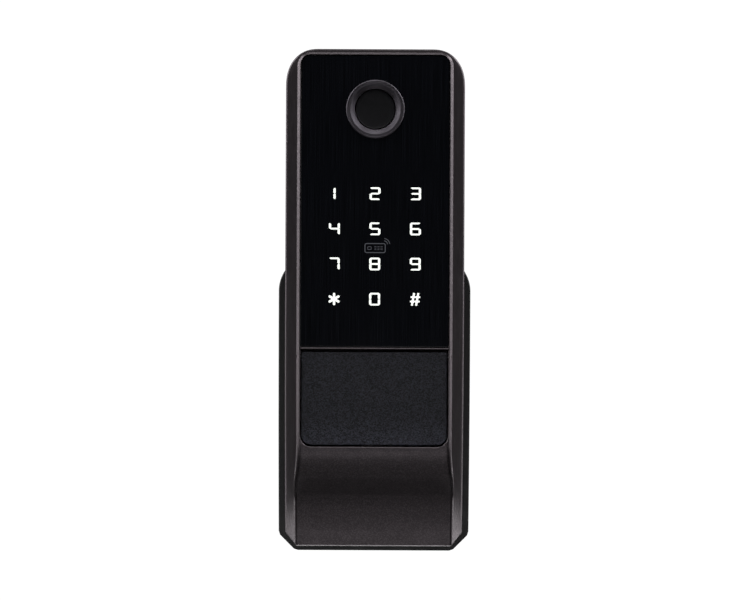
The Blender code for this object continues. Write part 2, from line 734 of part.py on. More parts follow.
def make_plug():
    """Rotating plug with its keyway, the clip that holds it in, and the tailpiece it drives."""
    low, high = PLUG_DEPTHS
    centre = (0, PLUG_HEIGHT)
    groove = CYLINDER_DEPTHS[0] - 0.2 * MM
    groove_radius = PLUG_RADIUS - 1.0 * MM
    profile = (
        (0, low),
        (PLUG_RADIUS, low),
        (PLUG_RADIUS, groove - 1.2 * MM),
        (groove_radius, groove - 1.2 * MM),
        (groove_radius, groove),
        (PLUG_RADIUS, groove),
        (PLUG_RADIUS, high - 0.3 * MM),
        (PLUG_RADIUS - 0.3 * MM, high),
        (0, high),
    )
    plug = turned("cylinder_plug", profile, centre, brass(), 32)
    keyway = block("keyway", (0, KEYWAY_TOP - 3.8 * MM), (0.8 * MM, 3.8 * MM), (-11.5 * MM, BEYOND))
    tail_halves = (3.0 * MM, 0.8 * MM)
    slot_bottom = low + 2.2 * MM
    slot = [half + GAP for half in tail_halves]
    cut(plug, keyway, block("tail_slot", centre, slot, (low - 1 * MM, slot_bottom)))
    block("tailpiece", centre, tail_halves, (TAIL_END, slot_bottom - GAP), steel())
    clip_depths = (groove - 0.9 * MM, groove - GAP)
    radii = (groove_radius + GAP, PLUG_RADIUS + 1.4 * MM)
    clip = washer("plug_clip", radii, clip_depths, centre, steel(), 32)
    mouth = (0, PLUG_HEIGHT - PLUG_RADIUS)
    cut(clip, block("clip_mouth", mouth, (3 * MM, 4 * MM), (low, CYLINDER_DEPTHS[0])))
    return plug


def make_power_port():
    """Socket for feeding the lock from outside when its batteries are flat."""
    low, high = PORT_DEPTHS
    shell = block("port_shell", PORT_PLACE, PORT_SHELL, PORT_DEPTHS, steel())
    inner = [half - 0.4 * MM for half in PORT_SHELL]
    cut(shell, block("cut_shell", PORT_PLACE, inner, (low + 0.7 * MM, BEYOND)))
    tongue = (low + 0.7 * MM + GAP, high - 0.5 * MM)
    block("port_tongue", PORT_PLACE, (0.35 * MM, 3.3 * MM), tongue, sensor_black())
    board = (low - 1.5 * MM, low - GAP)
    block("port_board", PORT_PLACE, (4.6 * MM, 7 * MM), board, board_green())


def make_rear_cover():
    """Steel plate that closes the housing's back and carries the mounting posts."""
    half_width = CAVITY_HALF_WIDTHS[0] - 1.9 * MM
    low, high = CAVITY_BOTTOM + 1 * MM, CAVITY_TOPS[0] - 0.9 * MM
    outline = rounded_outline(half_width, low, high, (3 * MM, 8.4 * MM))
    cover = prism("rear_cover", outline, REAR_COVER_DEPTHS, steel())
    back, front = REAR_COVER_DEPTHS
    head = back + 0.1 * MM
    for number, place in enumerate(screw_places(), 1):
        name = f"rear_screw_{number}"
        make_screw(name, place, head)
        slack = SCREW_RADIUS + GAP
        countersink = (
            (0, BEHIND),
            (slack + 2.2 * MM, BEHIND),
            (slack + 1.1 * MM, head),
            (slack, head + 1.1 * MM),
            (slack, front + 1 * MM),
            (0, front + 1 * MM),
        )
        cut(cover, turned(f"hole_{number}", countersink, place, segments=16))
    through = (BEHIND, front + 1 * MM)
    cut(cover, disc("cut_cover_cylinder", CYLINDER_RADIUS + GAP, through, (0, CYLINDER_HEIGHT)))
    cut(cover, disc("cut_cover_grommet", 3.6 * MM, through, GROMMET_PLACE, segments=20))
    cut(cover, disc("cut_cover_tamper", TAMPER_RADIUS + GAP, through, TAMPER_PLACE, segments=16))
    for name, height in POST_HEIGHTS.items():
        hole = disc(f"cut_cover_{name}", POST_RADIUS + GAP, through, (0, height), segments=24)
        cut(cover, hole)


def make_screw(name, place, head):
    """Countersunk screw, its head at the back."""
    profile = (
        (0, head),
        (SCREW_RADIUS + 1.1 * MM, head),
        (SCREW_RADIUS, head + 1.1 * MM),
        (SCREW_RADIUS, head + 6.4 * MM),
        (0, head + 6.9 * MM),
    )
    turned(name, profile, place, steel(), 16)


def make_mounting_posts():
    """Threaded posts that the indoor unit's bolts draw through the door."""
    inner = REAR_COVER_DEPTHS[1] + GAP
    for name, height in POST_HEIGHTS.items():
        centre = (0, height)
        profile = (
            (0, POST_END + 10 * MM),
            (1.6 * MM, POST_END + 10 * MM),
            (1.6 * MM, POST_END),
            (POST_RADIUS, POST_END),
            (POST_RADIUS, inner),
            (POST_RADIUS + 1.6 * MM, inner),
            (POST_RADIUS + 1.6 * MM, inner + 1.6 * MM),
            (0, inner + 1.6 * MM),
        )
        turned(f"mounting_post_{name}", profile, centre, steel(), 24)


def make_tamper_switch():
    """Plunger that the door holds in, and the switch that it works."""
    start = REAR_COVER_DEPTHS[1] + GAP
    switch = block("tamper_switch", TAMPER_PLACE, (4 * MM, 3.5 * MM), (start, 9.2 * MM), sensor_black())
    socket = (BEHIND, 8.7 * MM)
    cut(switch, disc("cut_switch", TAMPER_RADIUS + GAP, socket, TAMPER_PLACE, segments=16))
    disc("tamper_plunger", TAMPER_RADIUS, (-1.6 * MM, 6.3 * MM), TAMPER_PLACE, white_plastic(), 16)


def make_grommet():
    """Rubber grommet where the harness to the indoor unit leaves the back."""
    profile = (
        (1.9 * MM, 0.3 * MM),
        (3.3 * MM, 0.3 * MM),
        (3.3 * MM, REAR_COVER_DEPTHS[1] + GAP),
        (4.6 * MM, REAR_COVER_DEPTHS[1] + GAP),
        (4.6 * MM, REAR_COVER_DEPTHS[1] + 1.3 * MM),
        (1.9 * MM, REAR_COVER_DEPTHS[1] + 1.3 * MM),
    )
    turned("cable_grommet", profile, GROMMET_PLACE, rubber(), 24)


def plate_outline():
    """Wider than the housing, with round shoulders above and chamfered corners below."""
    low = PLATE_BOTTOM + PLATE_CHAMFER
    foot = PLATE_HALF_WIDTH - PLATE_TAPER
    right = [(foot - PLATE_CHAMFER - 1.2 * MM, PLATE_BOTTOM)]
    right.append((foot - PLATE_CHAMFER + 0.3 * MM, PLATE_BOTTOM + 0.5 * MM))
    right.append((foot - 0.5 * MM, low - 0.3 * MM))
    right.append((foot, low + 1.2 * MM))
    shoulder = PLATE_TOP - PLATE_SHOULDER
    for z in spread(-75 * MM, -15 * MM, 5):
        right.append((PLATE_HALF_WIDTH - foot_taper(z, PLATE_TAPER), z))
    centre = (PLATE_HALF_WIDTH - PLATE_SHOULDER, shoulder)
    right += arc(centre, (PLATE_SHOULDER, PLATE_SHOULDER), 0, 90, 10)
    return mirrored(right)


def make_base_plate():
    plate = prism("base_plate", plate_outline(), (0, PLATE_DEPTH), plate_plastic())
    through = (-5 * MM, PLATE_DEPTH + 1 * MM)
    cut(plate, disc("cut_plate_cylinder", CYLINDER_RADIUS + GAP, through, (0, CYLINDER_HEIGHT)))
    cut(plate, disc("cut_plate_grommet", 3.6 * MM, through, GROMMET_PLACE, segments=20))
    cut(plate, disc("cut_plate_tamper", TAMPER_RADIUS + GAP, through, TAMPER_PLACE, segments=16))
    place = (0, POST_HEIGHTS["lower"])
    cut(plate, disc("cut_plate_post", POST_RADIUS + GAP, through, place, segments=24))


def make_door_gasket():
    """Rubber frame between the door and the part of the housing above the base plate."""
    low = PLATE_TOP + GAP
    half_width = RIM_HALF_WIDTH - 1.6 * MM
    outline = rounded_outline(half_width, low, RIM_TOP - 1.6 * MM, (0.5 * MM, 10.5 * MM))
    frame = prism("door_gasket", outline, (0, PLATE_DEPTH), rubber())
    width = 5 * MM
    inner = rounded_outline(
        half_width - width, low + width, RIM_TOP - 1.6 * MM - width, (0.5 * MM, 5.5 * MM)
    )
    cut(frame, prism("cut_gasket", inner, (-5 * MM, BEYOND)))


def clear_scene():
    for item in list(bpy.data.objects):
        bpy.data.objects.remove(item, do_unlink=True)


def main():
    clear_scene()
    make_housing()
    make_panel()
    make_panel_adhesive()
    make_light_guide()
    make_boards()
    make_key_lights()
    make_board_fittings()
    make_reader()
    make_key_cover()
    make_cylinder()
    make_power_port()
    make_rear_cover()
    make_mounting_posts()
    make_tamper_switch()
    make_grommet()
    make_base_plate()
    make_door_gasket()


main()
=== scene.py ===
"""Looks of the keypad smart lock: fine surfaces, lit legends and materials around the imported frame.

Frame: +X to the right, +Z up, and the front faces -Y. A depth is a distance in front of the door's
surface, so depth d is y = -d, as in the part's own source.
"""
import json
import math

import bmesh
import bpy
from mathutils import Matrix, Vector


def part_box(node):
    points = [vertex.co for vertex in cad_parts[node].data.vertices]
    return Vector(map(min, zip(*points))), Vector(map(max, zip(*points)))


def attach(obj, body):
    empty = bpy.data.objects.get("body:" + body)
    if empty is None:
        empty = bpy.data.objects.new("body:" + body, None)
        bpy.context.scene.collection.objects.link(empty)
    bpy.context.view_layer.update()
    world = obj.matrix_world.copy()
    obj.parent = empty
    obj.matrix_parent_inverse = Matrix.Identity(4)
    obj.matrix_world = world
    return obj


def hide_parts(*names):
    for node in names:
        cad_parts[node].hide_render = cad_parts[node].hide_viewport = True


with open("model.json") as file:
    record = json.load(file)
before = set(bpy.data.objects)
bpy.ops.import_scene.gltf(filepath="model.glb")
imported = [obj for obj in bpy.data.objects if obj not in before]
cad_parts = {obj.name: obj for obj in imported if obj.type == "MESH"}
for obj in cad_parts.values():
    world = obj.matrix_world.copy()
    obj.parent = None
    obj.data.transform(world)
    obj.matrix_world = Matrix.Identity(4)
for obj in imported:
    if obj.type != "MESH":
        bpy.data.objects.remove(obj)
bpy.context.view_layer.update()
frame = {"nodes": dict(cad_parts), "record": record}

NODES = frame["nodes"]
MM = 0.001
GAP = 0.3 * MM


def reach(node):
    """Right side, back and front depths, and lowest and highest point of a CAD node."""
    low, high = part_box(node)
    return high.x, (-high.y, -low.y), (low.z, high.z)


def middle(node):
    """Centre of a CAD node in X and Z."""
    low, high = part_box(node)
    return (low.x + high.x) / 2, (low.z + high.z) / 2


# Housing
RIM_HALF_WIDTH, HOUSING_DEPTHS, (RIM_BOTTOM, RIM_TOP) = reach("housing")
REAR_DEPTH, FRONT_DEPTH = HOUSING_DEPTHS
RIM_CORNER = (11.5 * MM, 13.5 * MM)   # top corners, along X and Z
RIM_CORNER_POWER = 2.2                # 2 is an ellipse, and more is squarer
RIM_CHAMFER = 4.7 * MM
FOOT_TAPER = 0.45 * MM
FLANGE_DEPTH = 4.4 * MM
FLANGE_BEVEL = 0.45 * MM
FRONT_HALF_WIDTH = 27.8 * MM
FRONT_TOP = 87.3 * MM
FRONT_BOTTOM = -89.7 * MM
FRONT_CORNER = 4.9 * MM
FOOT_CORNER_ROUND = 0.5 * MM
LEAST_CORNER = 0.05 * MM
TOP_EDGE_SHARE = 0.85                 # the bevel is narrower at the top and the bottom
FOOT_EDGE_SHARES = (0.4, 0.75)        # in height and in depth
SCOOP_START = -54.2 * MM
SCOOP_BENDS = ((10.5 * MM, 42), (6.3 * MM, 42), (4.3 * MM, 14), (14.4 * MM, 0))
SCOOP_FLARE = 1.2 * MM
SCOOP_FLARE_END = -70.0 * MM
SOFT_EDGE_SPAN = (-46 * MM, -57 * MM)   # the front's side edges turn from a crisp bevel to a wide round
FIRM_EDGE_SPAN = (-63 * MM, -76 * MM)   # and then to a smaller one

# Edge of the front, from the wall to the front: how far in and how far back, in millimetres
CRISP_EDGE = ((-0.03, 1.12), (0.02, 0.99), (0.12, 0.88), (0.88, 0.12), (0.99, 0.02), (1.12, 0.0))
SOFT_EDGE = ((-0.09, 1.12), (0.74, 0.0), (2.2, 0.0))
FIRM_EDGE = ((-0.05, 0.75), (0.55, 0.0), (1.1, 0.0))

# Panel and pocket
PANEL_HALF_WIDTH, PANEL_DEPTHS, (PANEL_BOTTOM, PANEL_TOP) = reach("front_panel")
PANEL_FACE = PANEL_DEPTHS[1]
PANEL_CORNERS = (0.7 * MM, 3.0 * MM)
RECESS_FLOOR = 20.7 * MM
RECESS_MARGIN = 0.25 * MM
DIVIDER_BEVEL = 0.38 * MM             # along the top of the bar between the panel and the cover
DIVIDER_TOOL_RADIUS = 2 * MM
POCKET_LIP = 0.28 * MM
RECESS_LIP = 0.08 * MM
WINDOW = (23.2 * MM, -14.0 * MM, 83.6 * MM)
POCKET = (26.35 * MM, -53.1 * MM, -18.4 * MM)
POCKET_CORNERS = (4.1 * MM, 0.5 * MM)
POCKET_FLOOR = 11.5 * MM
COVER_HALF_WIDTH, _, (COVER_BOTTOM, COVER_TOP) = reach("key_cover")
COVER_DEPTHS = (20.9 * MM, 23.3 * MM)
COVER_CORNERS = (3.6 * MM, 0.4 * MM)
HINGE_PLACE = middle("cover_hinge_pin")[1]
HINGE_DEPTH = sum(reach("cover_hinge_pin")[1]) / 2
HINGE_PIN_RADIUS = 0.85 * MM
HINGE_BARREL_RADIUS = 1.6 * MM
HINGE_REACH = reach("cover_hinge_pin")[0]
COVER_BOW = 0.42 * MM                 # how far the face leans back at the foot
COVER_BOW_HEIGHT = 10 * MM
CORNER_STEPS = 10
# Heights over which the cover's colour is painted paler downwards, a painted reflection
PAINTED_SHEEN_SPAN = (-42.5 * MM, -52.5 * MM)
MAGNET_PLACE = middle("cover_magnet")
MAGNET_RADIUS = reach("cover_magnet")[0]

# Inside
CAVITY_HALF_WIDTHS = (29.6 * MM, 25.8 * MM)
CAVITY_TOPS = (87.0 * MM, 83.9 * MM)
CAVITY_BOTTOM = -68.0 * MM
CAVITY_FRONT = 18.2 * MM
CAVITY_STEP = -16.2 * MM
SCREW_NODES = [f"rear_screw_{number}" for number in (1, 2, 3, 4)]
SCREW_RADIUS = 1.2 * MM
SCREW_BOSS_RADIUS = 2.6 * MM
CYLINDER_PLACE = middle("cylinder_body")
CYLINDER_RADIUS = 9.5 * MM
CYLINDER_DEPTHS = reach("cylinder_body")[1]
PLUG_PLACE = middle("cylinder_plug")
PLUG_RADIUS = 6.2 * MM
PLUG_DEPTHS = reach("cylinder_plug")[1]
KEYWAY_TOP = -33.9 * MM
PIN_DEPTHS = (8 * MM, 4 * MM, 0, -4 * MM)
PIN_RADIUS = 1.0 * MM
PORT_PLACE = middle("port_shell")
PORT_HALVES = (1.7 * MM, 4.6 * MM)
POST_NODES = ("mounting_post_upper", "mounting_post_lower")
POST_RADIUS = 4.0 * MM
TAMPER_PLACE = middle("tamper_plunger")
TAMPER_RADIUS = 1.5 * MM
GROMMET_PLACE = middle("cable_grommet")
GROMMET_HOLE = 3.6 * MM

# Reader
READER_PLACE = middle("fingerprint_ring")
READER_RING_RADIUS = reach("fingerprint_ring")[0]
READER_BARREL_RADIUS = 8.6 * MM
READER_BORE_RADIUS = 7.3 * MM
READER_FACE = reach("fingerprint_ring")[1][1]
READER_CONE_RADIUS = 8.95 * MM        # where the cone down to the sensor starts
READER_CONE_SINK = 0.90 * MM          # its low end, below the panel's face

# Base plate and gasket
PLATE_HALF_WIDTH, PLATE_DEPTHS, (PLATE_BOTTOM, PLATE_TOP) = reach("base_plate")
PLATE_SHOULDER = 13.2 * MM
PLATE_CHAMFER = 5.85 * MM
PLATE_TAPER = 0.35 * MM
GASKET_WIDTH = 5 * MM

BEHIND = -30 * MM
BEYOND = 40 * MM


# ---------------------------------------------------------------- outlines

def arc(centre, radii, start, end, steps):
    """Points on part of an ellipse, angles in degrees from +X towards +Z."""
    points = []
    for i in range(steps + 1):
        angle = math.radians(start + (end - start) * i / steps)
        points.append((centre[0] + radii[0] * math.cos(angle), centre[1] + radii[1] * math.sin(angle)))
    return points


def mirrored(right_side):
    """A closed outline from its right side, which runs upwards."""
    return right_side + [(-x, z) for x, z in reversed(right_side)]


def rectangle(centre, halves):
    x, z = centre
    return [(x + i * halves[0], z + j * halves[1]) for i, j in ((1, -1), (1, 1), (-1, 1), (-1, -1))]


def rounded_outline(half_width, low, high, corners, steps=CORNER_STEPS, centre_x=0.0):
    """An outline symmetric about its centre, with one radius for its low corners and one for its high."""
    low_radius, high_radius = corners
    low_centre = (half_width - low_radius, low + low_radius)
    high_centre = (half_width - high_radius, high - high_radius)
    right = arc(low_centre, (low_radius, low_radius), -90, 0, steps)
    right += arc(high_centre, (high_radius, high_radius), 0, 90, steps)
    return [(centre_x + x, z) for x, z in mirrored(right)]


def spread(first, last, count):
    return [first + (last - first) * i / (count - 1) for i in range(count)]


def drawn_in(outline, inset):
    """An anticlockwise outline moved inwards, corner by corner."""
    moved = []
    for i, point in enumerate(outline):
        here = Vector(point)
        first = (here - Vector(outline[i - 1])).normalized()
        second = (Vector(outline[(i + 1) % len(outline)]) - here).normalized()
        inward = Vector((-first.y - second.y, first.x + second.x)).normalized()
        share = max(inward.dot(Vector((-first.y, first.x))), 0.4)
        moved.append(tuple(here + inward * inset / share))
    return moved


def softened(points, radius, closed=False, steps=3):
    """The points with every corner turned into a short curve."""
    soft = []
    count = len(points)
    for i, point in enumerate(points):
        if not closed and i in (0, count - 1):
            soft.append(tuple(point))
            continue
        here = Vector(point)
        before = Vector(points[i - 1]) - here
        after = Vector(points[(i + 1) % count]) - here
        start = here + before.normalized() * min(radius, before.length * 0.45)
        end = here + after.normalized() * min(radius, after.length * 0.45)
        for k in range(steps + 1):
            t = k / steps
            soft.append(tuple(start * (1 - t) ** 2 + here * 2 * t * (1 - t) + end * t * t))
    return soft


def edge_layers(depths, back_round, front_round, steps=4):
    """Insets and depths of a flat piece whose back and front edges are rounded."""
    back, front = depths
    layers = []
    for i in range(steps + 1):
        angle = math.pi / 2 * i / steps
        layers.append((back_round * (1 - math.sin(angle)), back + back_round * (1 - math.cos(angle))))
    for i in range(steps + 1):
        angle = math.pi / 2 * i / steps
        layers.append((front_round * (1 - math.cos(angle)), front - front_round * (1 - math.sin(angle))))
    return layers


# ---------------------------------------------------------------- solids

def made(name, mesh):
    bmesh.ops.recalc_face_normals(mesh, faces=mesh.faces)
    data = bpy.data.meshes.new(name)
    mesh.to_mesh(data)
    mesh.free()
    piece = bpy.data.objects.new(name, data)
    bpy.context.scene.collection.objects.link(piece)
    return piece


def bridged(mesh, rings):
    """Strips of faces from ring to ring. Returns the rings' vertices."""
    loops = [[mesh.verts.new(point) for point in ring] for ring in rings]
    count = len(loops[0])
    for lower, upper in zip(loops, loops[1:]):
        for i in range(count):
            after = (i + 1) % count
            mesh.faces.new((lower[i], lower[after], upper[after], upper[i]))
    return loops


def loft(name, rings):
    """A solid through closed rings, closed by strips across its two ends."""
    mesh = bmesh.new()
    loops = bridged(mesh, rings)
    for loop in (loops[0], loops[-1]):
        for i in range(len(loop) // 2 - 1):
            mesh.faces.new((loop[i], loop[i + 1], loop[-2 - i], loop[-1 - i]))
    return made(name, mesh)


def layered(name, outline, layers):
    """A flat piece: one outline, drawn in by each layer's inset, at each layer's depth."""
    rings = []
    for inset, depth in layers:
        ring = drawn_in(outline, inset) if inset else outline
        rings.append([(x, -depth, z) for x, z in ring])
    mesh = bmesh.new()
    loops = bridged(mesh, rings)
    for loop in (loops[0], loops[-1]):
        mesh.faces.new(loop)
    return made(name, mesh)


def prism(name, outline, depths):
    return layered(name, outline, [(0, depth) for depth in depths])


def tapered(name, near_outline, far_outline, depths):
    """A piece whose outline changes evenly between two depths."""
    mesh = bmesh.new()
    rings = []
    for outline, depth in zip((near_outline, far_outline), depths):
        rings.append([(x, -depth, z) for x, z in outline])
    loops = bridged(mesh, rings)
    for loop in loops:
        mesh.faces.new(loop)
    return made(name, mesh)


def turned(name, profile, centre, segments=96):
    """A round piece: a profile of (radius, depth) spun about an axis along Y."""
    mesh = bmesh.new()
    points = [mesh.verts.new((centre[0] + radius, -depth, centre[1])) for radius, depth in profile]
    edges = [mesh.edges.new(pair) for pair in zip(points, points[1:])]
    if profile[0][0] > 0:
        edges.append(mesh.edges.new((points[-1], points[0])))
    bmesh.ops.spin(
        mesh,
        geom=points + edges,
        cent=(centre[0], 0, centre[1]),
        axis=(0, 1, 0),
        angle=2 * math.pi,
        steps=segments,
    )
    bmesh.ops.remove_doubles(mesh, verts=mesh.verts, dist=1e-7)
    return made(name, mesh)


def disc(name, radius, depths, centre, segments=64):
    back, front = depths
    return turned(name, ((0, back), (radius, back), (radius, front), (0, front)), centre, segments)


def rod(name, radius, half_length, height, depth, segments=48):
    """A cylinder along X."""
    mesh = bmesh.new()
    bmesh.ops.create_cone(
        mesh,
        cap_ends=True,
        segments=segments,
        radius1=radius,
        radius2=radius,
        depth=2 * half_length,
        matrix=Matrix.Translation((0, -depth, height)) @ Matrix.Rotation(math.pi / 2, 4, "Y"),
    )
    return made(name, mesh)


def upright(name, radius, heights, depth, segments=32):
    """A cylinder along Z on the lock's middle plane."""
    mesh = bmesh.new()
    bmesh.ops.create_cone(
        mesh,
        cap_ends=True,
        segments=segments,
        radius1=radius,
        radius2=radius,
        depth=heights[1] - heights[0],
        matrix=Matrix.Translation((0, -depth, sum(heights) / 2)),
    )
    return made(name, mesh)


def settle(piece):
    """Apply the piece's modifiers."""
    bpy.context.view_layer.update()
    evaluated = piece.evaluated_get(bpy.context.evaluated_depsgraph_get())
    data = bpy.data.meshes.new_from_object(evaluated)
    piece.modifiers.clear()
    piece.data = data


def carve(target, tools, operation="DIFFERENCE"):
    for tool in tools:
        modifier = target.modifiers.new(tool.name, "BOOLEAN")
        modifier.operation = operation
        modifier.solver = "EXACT"
        modifier.object = tool
        settle(target)
        bpy.data.objects.remove(tool)


def shaded(piece, angle=32):
    """Smooth shading that keeps flats flat and edges crisp."""
    piece.data.shade_smooth()
    piece.data.set_sharp_from_angle(angle=math.radians(angle))
    normals = piece.modifiers.new("normals", "WEIGHTED_NORMAL")
    normals.keep_sharp = True
    settle(piece)
    return piece


def place(piece, finish, body, slot, *nodes):
    """Give a finished piece its material and body, and hide the CAD nodes that it stands for. Its slot is not
    used.
    """
    piece.data.materials.clear()
    piece.data.materials.append(finish)
    shaded(piece)
    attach(piece, body)
    if nodes:
        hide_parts(*nodes)
    return piece


# ---------------------------------------------------------------- finishes

def new_finish(name, colour, roughness, metallic=0.0, specular=0.5):
    material = bpy.data.materials.new(name)
    material.use_nodes = True
    shader = material.node_tree.nodes["Principled BSDF"]
    shader.inputs["Base Color"].default_value = (*colour, 1)
    shader.inputs["Roughness"].default_value = roughness
    shader.inputs["Metallic"].default_value = metallic
    shader.inputs["Specular IOR Level"].default_value = specular
    return material


def add_node(material, kind, **inputs):
    node = material.node_tree.nodes.new(kind)
    for key, value in inputs.items():
        node.inputs[key.replace("_", " ")].default_value = value
    return node


def join(material, source, target):
    material.node_tree.links.new(source, target)


def coordinates(material, stretch):
    source = add_node(material, "ShaderNodeTexCoord")
    mapping = add_node(material, "ShaderNodeMapping", Scale=stretch)
    join(material, source.outputs["Object"], mapping.inputs["Vector"])
    return mapping.outputs["Vector"]


def noise(material, scale, detail=2.0, stretch=(1, 1, 1)):
    texture = add_node(material, "ShaderNodeTexNoise", Scale=scale, Detail=detail)
    join(material, coordinates(material, stretch), texture.inputs["Vector"])
    return texture.outputs["Fac"]


def cells(material, scale, stretch=(1, 1, 1)):
    texture = add_node(material, "ShaderNodeTexVoronoi", Scale=scale)
    join(material, coordinates(material, stretch), texture.inputs["Vector"])
    return texture.outputs["Distance"]


def cell_values(material, scale):
    """A random value in each cell."""
    texture = add_node(material, "ShaderNodeTexVoronoi", Scale=scale)
    join(material, coordinates(material, (1, 1, 1)), texture.inputs["Vector"])
    split = add_node(material, "ShaderNodeSeparateColor")
    join(material, texture.outputs["Color"], split.inputs["Color"])
    return split.outputs["Red"]


def shader_of(material):
    return material.node_tree.nodes["Principled BSDF"]


def ranged(material, value, span, low, high):
    limits = {"From_Min": span[0], "From_Max": span[1], "To_Min": low, "To_Max": high}
    node = add_node(material, "ShaderNodeMapRange", **limits)
    join(material, value, node.inputs["Value"])
    return node.outputs["Result"]


def mixed(material, value, first, second):
    """A colour between two others."""
    ramp = add_node(material, "ShaderNodeValToRGB")
    ramp.color_ramp.elements[0].color = (*first, 1)
    ramp.color_ramp.elements[1].color = (*second, 1)
    join(material, value, ramp.inputs["Fac"])
    return ramp.outputs["Color"]


def tint(material, value, span, first, second):
    colour = mixed(material, ranged(material, value, span, 0, 1), first, second)
    join(material, colour, shader_of(material).inputs["Base Color"])


def vary_roughness(material, value, span, low, high):
    join(material, ranged(material, value, span, low, high), shader_of(material).inputs["Roughness"])


def emboss(material, value, height, below=None):
    """Relief of a real height, in metres, on top of another."""
    bump = add_node(material, "ShaderNodeBump", Strength=1.0, Distance=height)
    join(material, value, bump.inputs["Height"])
    if below:
        join(material, below.outputs["Normal"], bump.inputs["Normal"])
    join(material, bump.outputs["Normal"], shader_of(material).inputs["Normal"])
    return bump


def height_of(material):
    """Height in the lock's own frame, in metres."""
    split = add_node(material, "ShaderNodeSeparateXYZ")
    join(material, coordinates(material, (1, 1, 1)), split.inputs["Vector"])
    return split.outputs["Z"]


def scale_colour(material, colour, factor):
    """Multiply a colour by a value, as the material's base colour."""
    node = material.node_tree.nodes.new("ShaderNodeVectorMath")
    node.operation = "SCALE"
    join(material, colour, node.inputs[0])
    join(material, factor, node.inputs["Scale"])
    join(material, node.outputs["Vector"], shader_of(material).inputs["Base Color"])


def shade(colour, factor):
    return tuple(channel * factor for channel in colour)


def bronze_paint():
    """Satin dark bronze powder coat: a fine orange peel with metallic flecks."""
    colour = (0.036, 0.0305, 0.0335)
    paint = new_finish("bronze_powder_coat", colour, 0.36, 0.85)
    tint(paint, cell_values(paint, 3300), (0.35, 1.0), shade(colour, 0.85), shade(colour, 1.45))
    vary_roughness(paint, noise(paint, 220, 3), (0.3, 0.7), 0.34, 0.39)
    peel = emboss(paint, noise(paint, 1300, 3), 0.000012)
    emboss(paint, cell_values(paint, 4200), 0.0000022, peel)
    return paint


def panel_glass():
    """Hard-coated black acrylic over hairlines that run down the panel."""
    colour = (0.0054, 0.0060, 0.0080)
    glass = new_finish("black_panel_glass", colour, 0.10, 0.0, 0.35)
    hairlines = noise(glass, 1.0, 3, (5200, 1, 45))
    tint(glass, hairlines, (0.35, 0.75), shade(colour, 0.6), shade(colour, 1.8))
    vary_roughness(glass, noise(glass, 60, 2), (0.3, 0.7), 0.09, 0.13)
    emboss(glass, hairlines, 0.0000006)
    return glass


def cover_plastic():
    """Black plastic with a coarse spark-eroded grain, painted paler towards its foot as a painted reflection
    of light from below.
    """
    colour = (0.0158, 0.0162, 0.0225)
    plastic = new_finish("grained_black_plastic", colour, 0.52, 0.0, 0.3)
    coarse = noise(plastic, 1500, 4)
    speckle = ranged(plastic, cell_values(plastic, 3000), (0.1, 1.0), 0, 1)
    grain = mixed(plastic, speckle, shade(colour, 0.2), shade(colour, 2.1))
    # Painted reflection: the grain's colour grows up to 2.2 times paler down the cover's foot, standing in
    # for light from below
    painted_sheen = ranged(plastic, height_of(plastic), PAINTED_SHEEN_SPAN, 1.0, 2.2)
    scale_colour(plastic, grain, painted_sheen)
    vary_roughness(plastic, noise(plastic, 900, 3), (0.3, 0.7), 0.46, 0.58)
    base = emboss(plastic, coarse, 0.00035)
    emboss(plastic, cells(plastic, 2600), 0.00005, base)
    return plastic


def ring_finish():
    """Dark anodised aluminium, turned: fine rings about the reader's axis."""
    colour = (0.080, 0.073, 0.085)
    ring = new_finish("dark_anodised_ring", colour, 0.50, 0.85)
    rings = turning_marks(ring, READER_PLACE, 2600)
    tint(ring, rings, (0.2, 0.8), shade(colour, 0.88), shade(colour, 1.12))
    vary_roughness(ring, noise(ring, 300, 3), (0.3, 0.7), 0.46, 0.54)
    emboss(ring, rings, 0.0000010)
    return ring


def turning_marks(material, centre, scale):
    """Fine rings about an axis along Y."""
    source = add_node(material, "ShaderNodeTexCoord")
    shift = add_node(material, "ShaderNodeMapping", Location=(-centre[0], 0, -centre[1]), Scale=(1, 0, 1))
    join(material, source.outputs["Object"], shift.inputs["Vector"])
    length = material.node_tree.nodes.new("ShaderNodeVectorMath")
    length.operation = "LENGTH"
    join(material, shift.outputs["Vector"], length.inputs[0])
    texture = add_node(material, "ShaderNodeTexNoise", Scale=scale, Detail=2.0)
    texture.noise_dimensions = "1D"
    join(material, length.outputs["Value"], texture.inputs["W"])
    return texture.outputs["Fac"]


def brass_finish():
    colour = (0.62, 0.44, 0.20)
    brass = new_finish("turned_brass", colour, 0.34, 1.0)
    rings = turning_marks(brass, CYLINDER_PLACE, 1800)
    tint(brass, noise(brass, 120, 3), (0.3, 0.7), shade(colour, 0.85), shade(colour, 1.08))
    vary_roughness(brass, noise(brass, 200, 2), (0.3, 0.7), 0.32, 0.37)
    emboss(brass, rings, 0.0000016)
    return brass


def board_finish():
    """Green solder mask with the tracks showing faintly through it."""
    colour = (0.018, 0.11, 0.045)
    board = new_finish("solder_mask", colour, 0.35, 0.0, 0.5)
    tint(board, cells(board, 260), (0.05, 0.6), shade(colour, 0.7), shade(colour, 1.25))
    vary_roughness(board, noise(board, 300, 2), (0.3, 0.7), 0.28, 0.42)
    emboss(board, cells(board, 260), 0.00001)
    return board


def plain_finish(name, colour, look, tones, sheen, relief=None):
    """A finish of three noises: its tone, its roughness and, if given, its relief.

    Look is roughness, metallic and specular level. Each noise starts with its scale and detail.
    """
    finish = new_finish(name, colour, *look)
    scale, detail, dark, light = tones
    tint(finish, noise(finish, scale, detail), (0.3, 0.7), shade(colour, dark), shade(colour, light))
    scale, detail, low, high = sheen
    vary_roughness(finish, noise(finish, scale, detail), (0.3, 0.7), low, high)
    if relief:
        scale, detail, height = relief
        emboss(finish, noise(finish, scale, detail), height)
    return finish


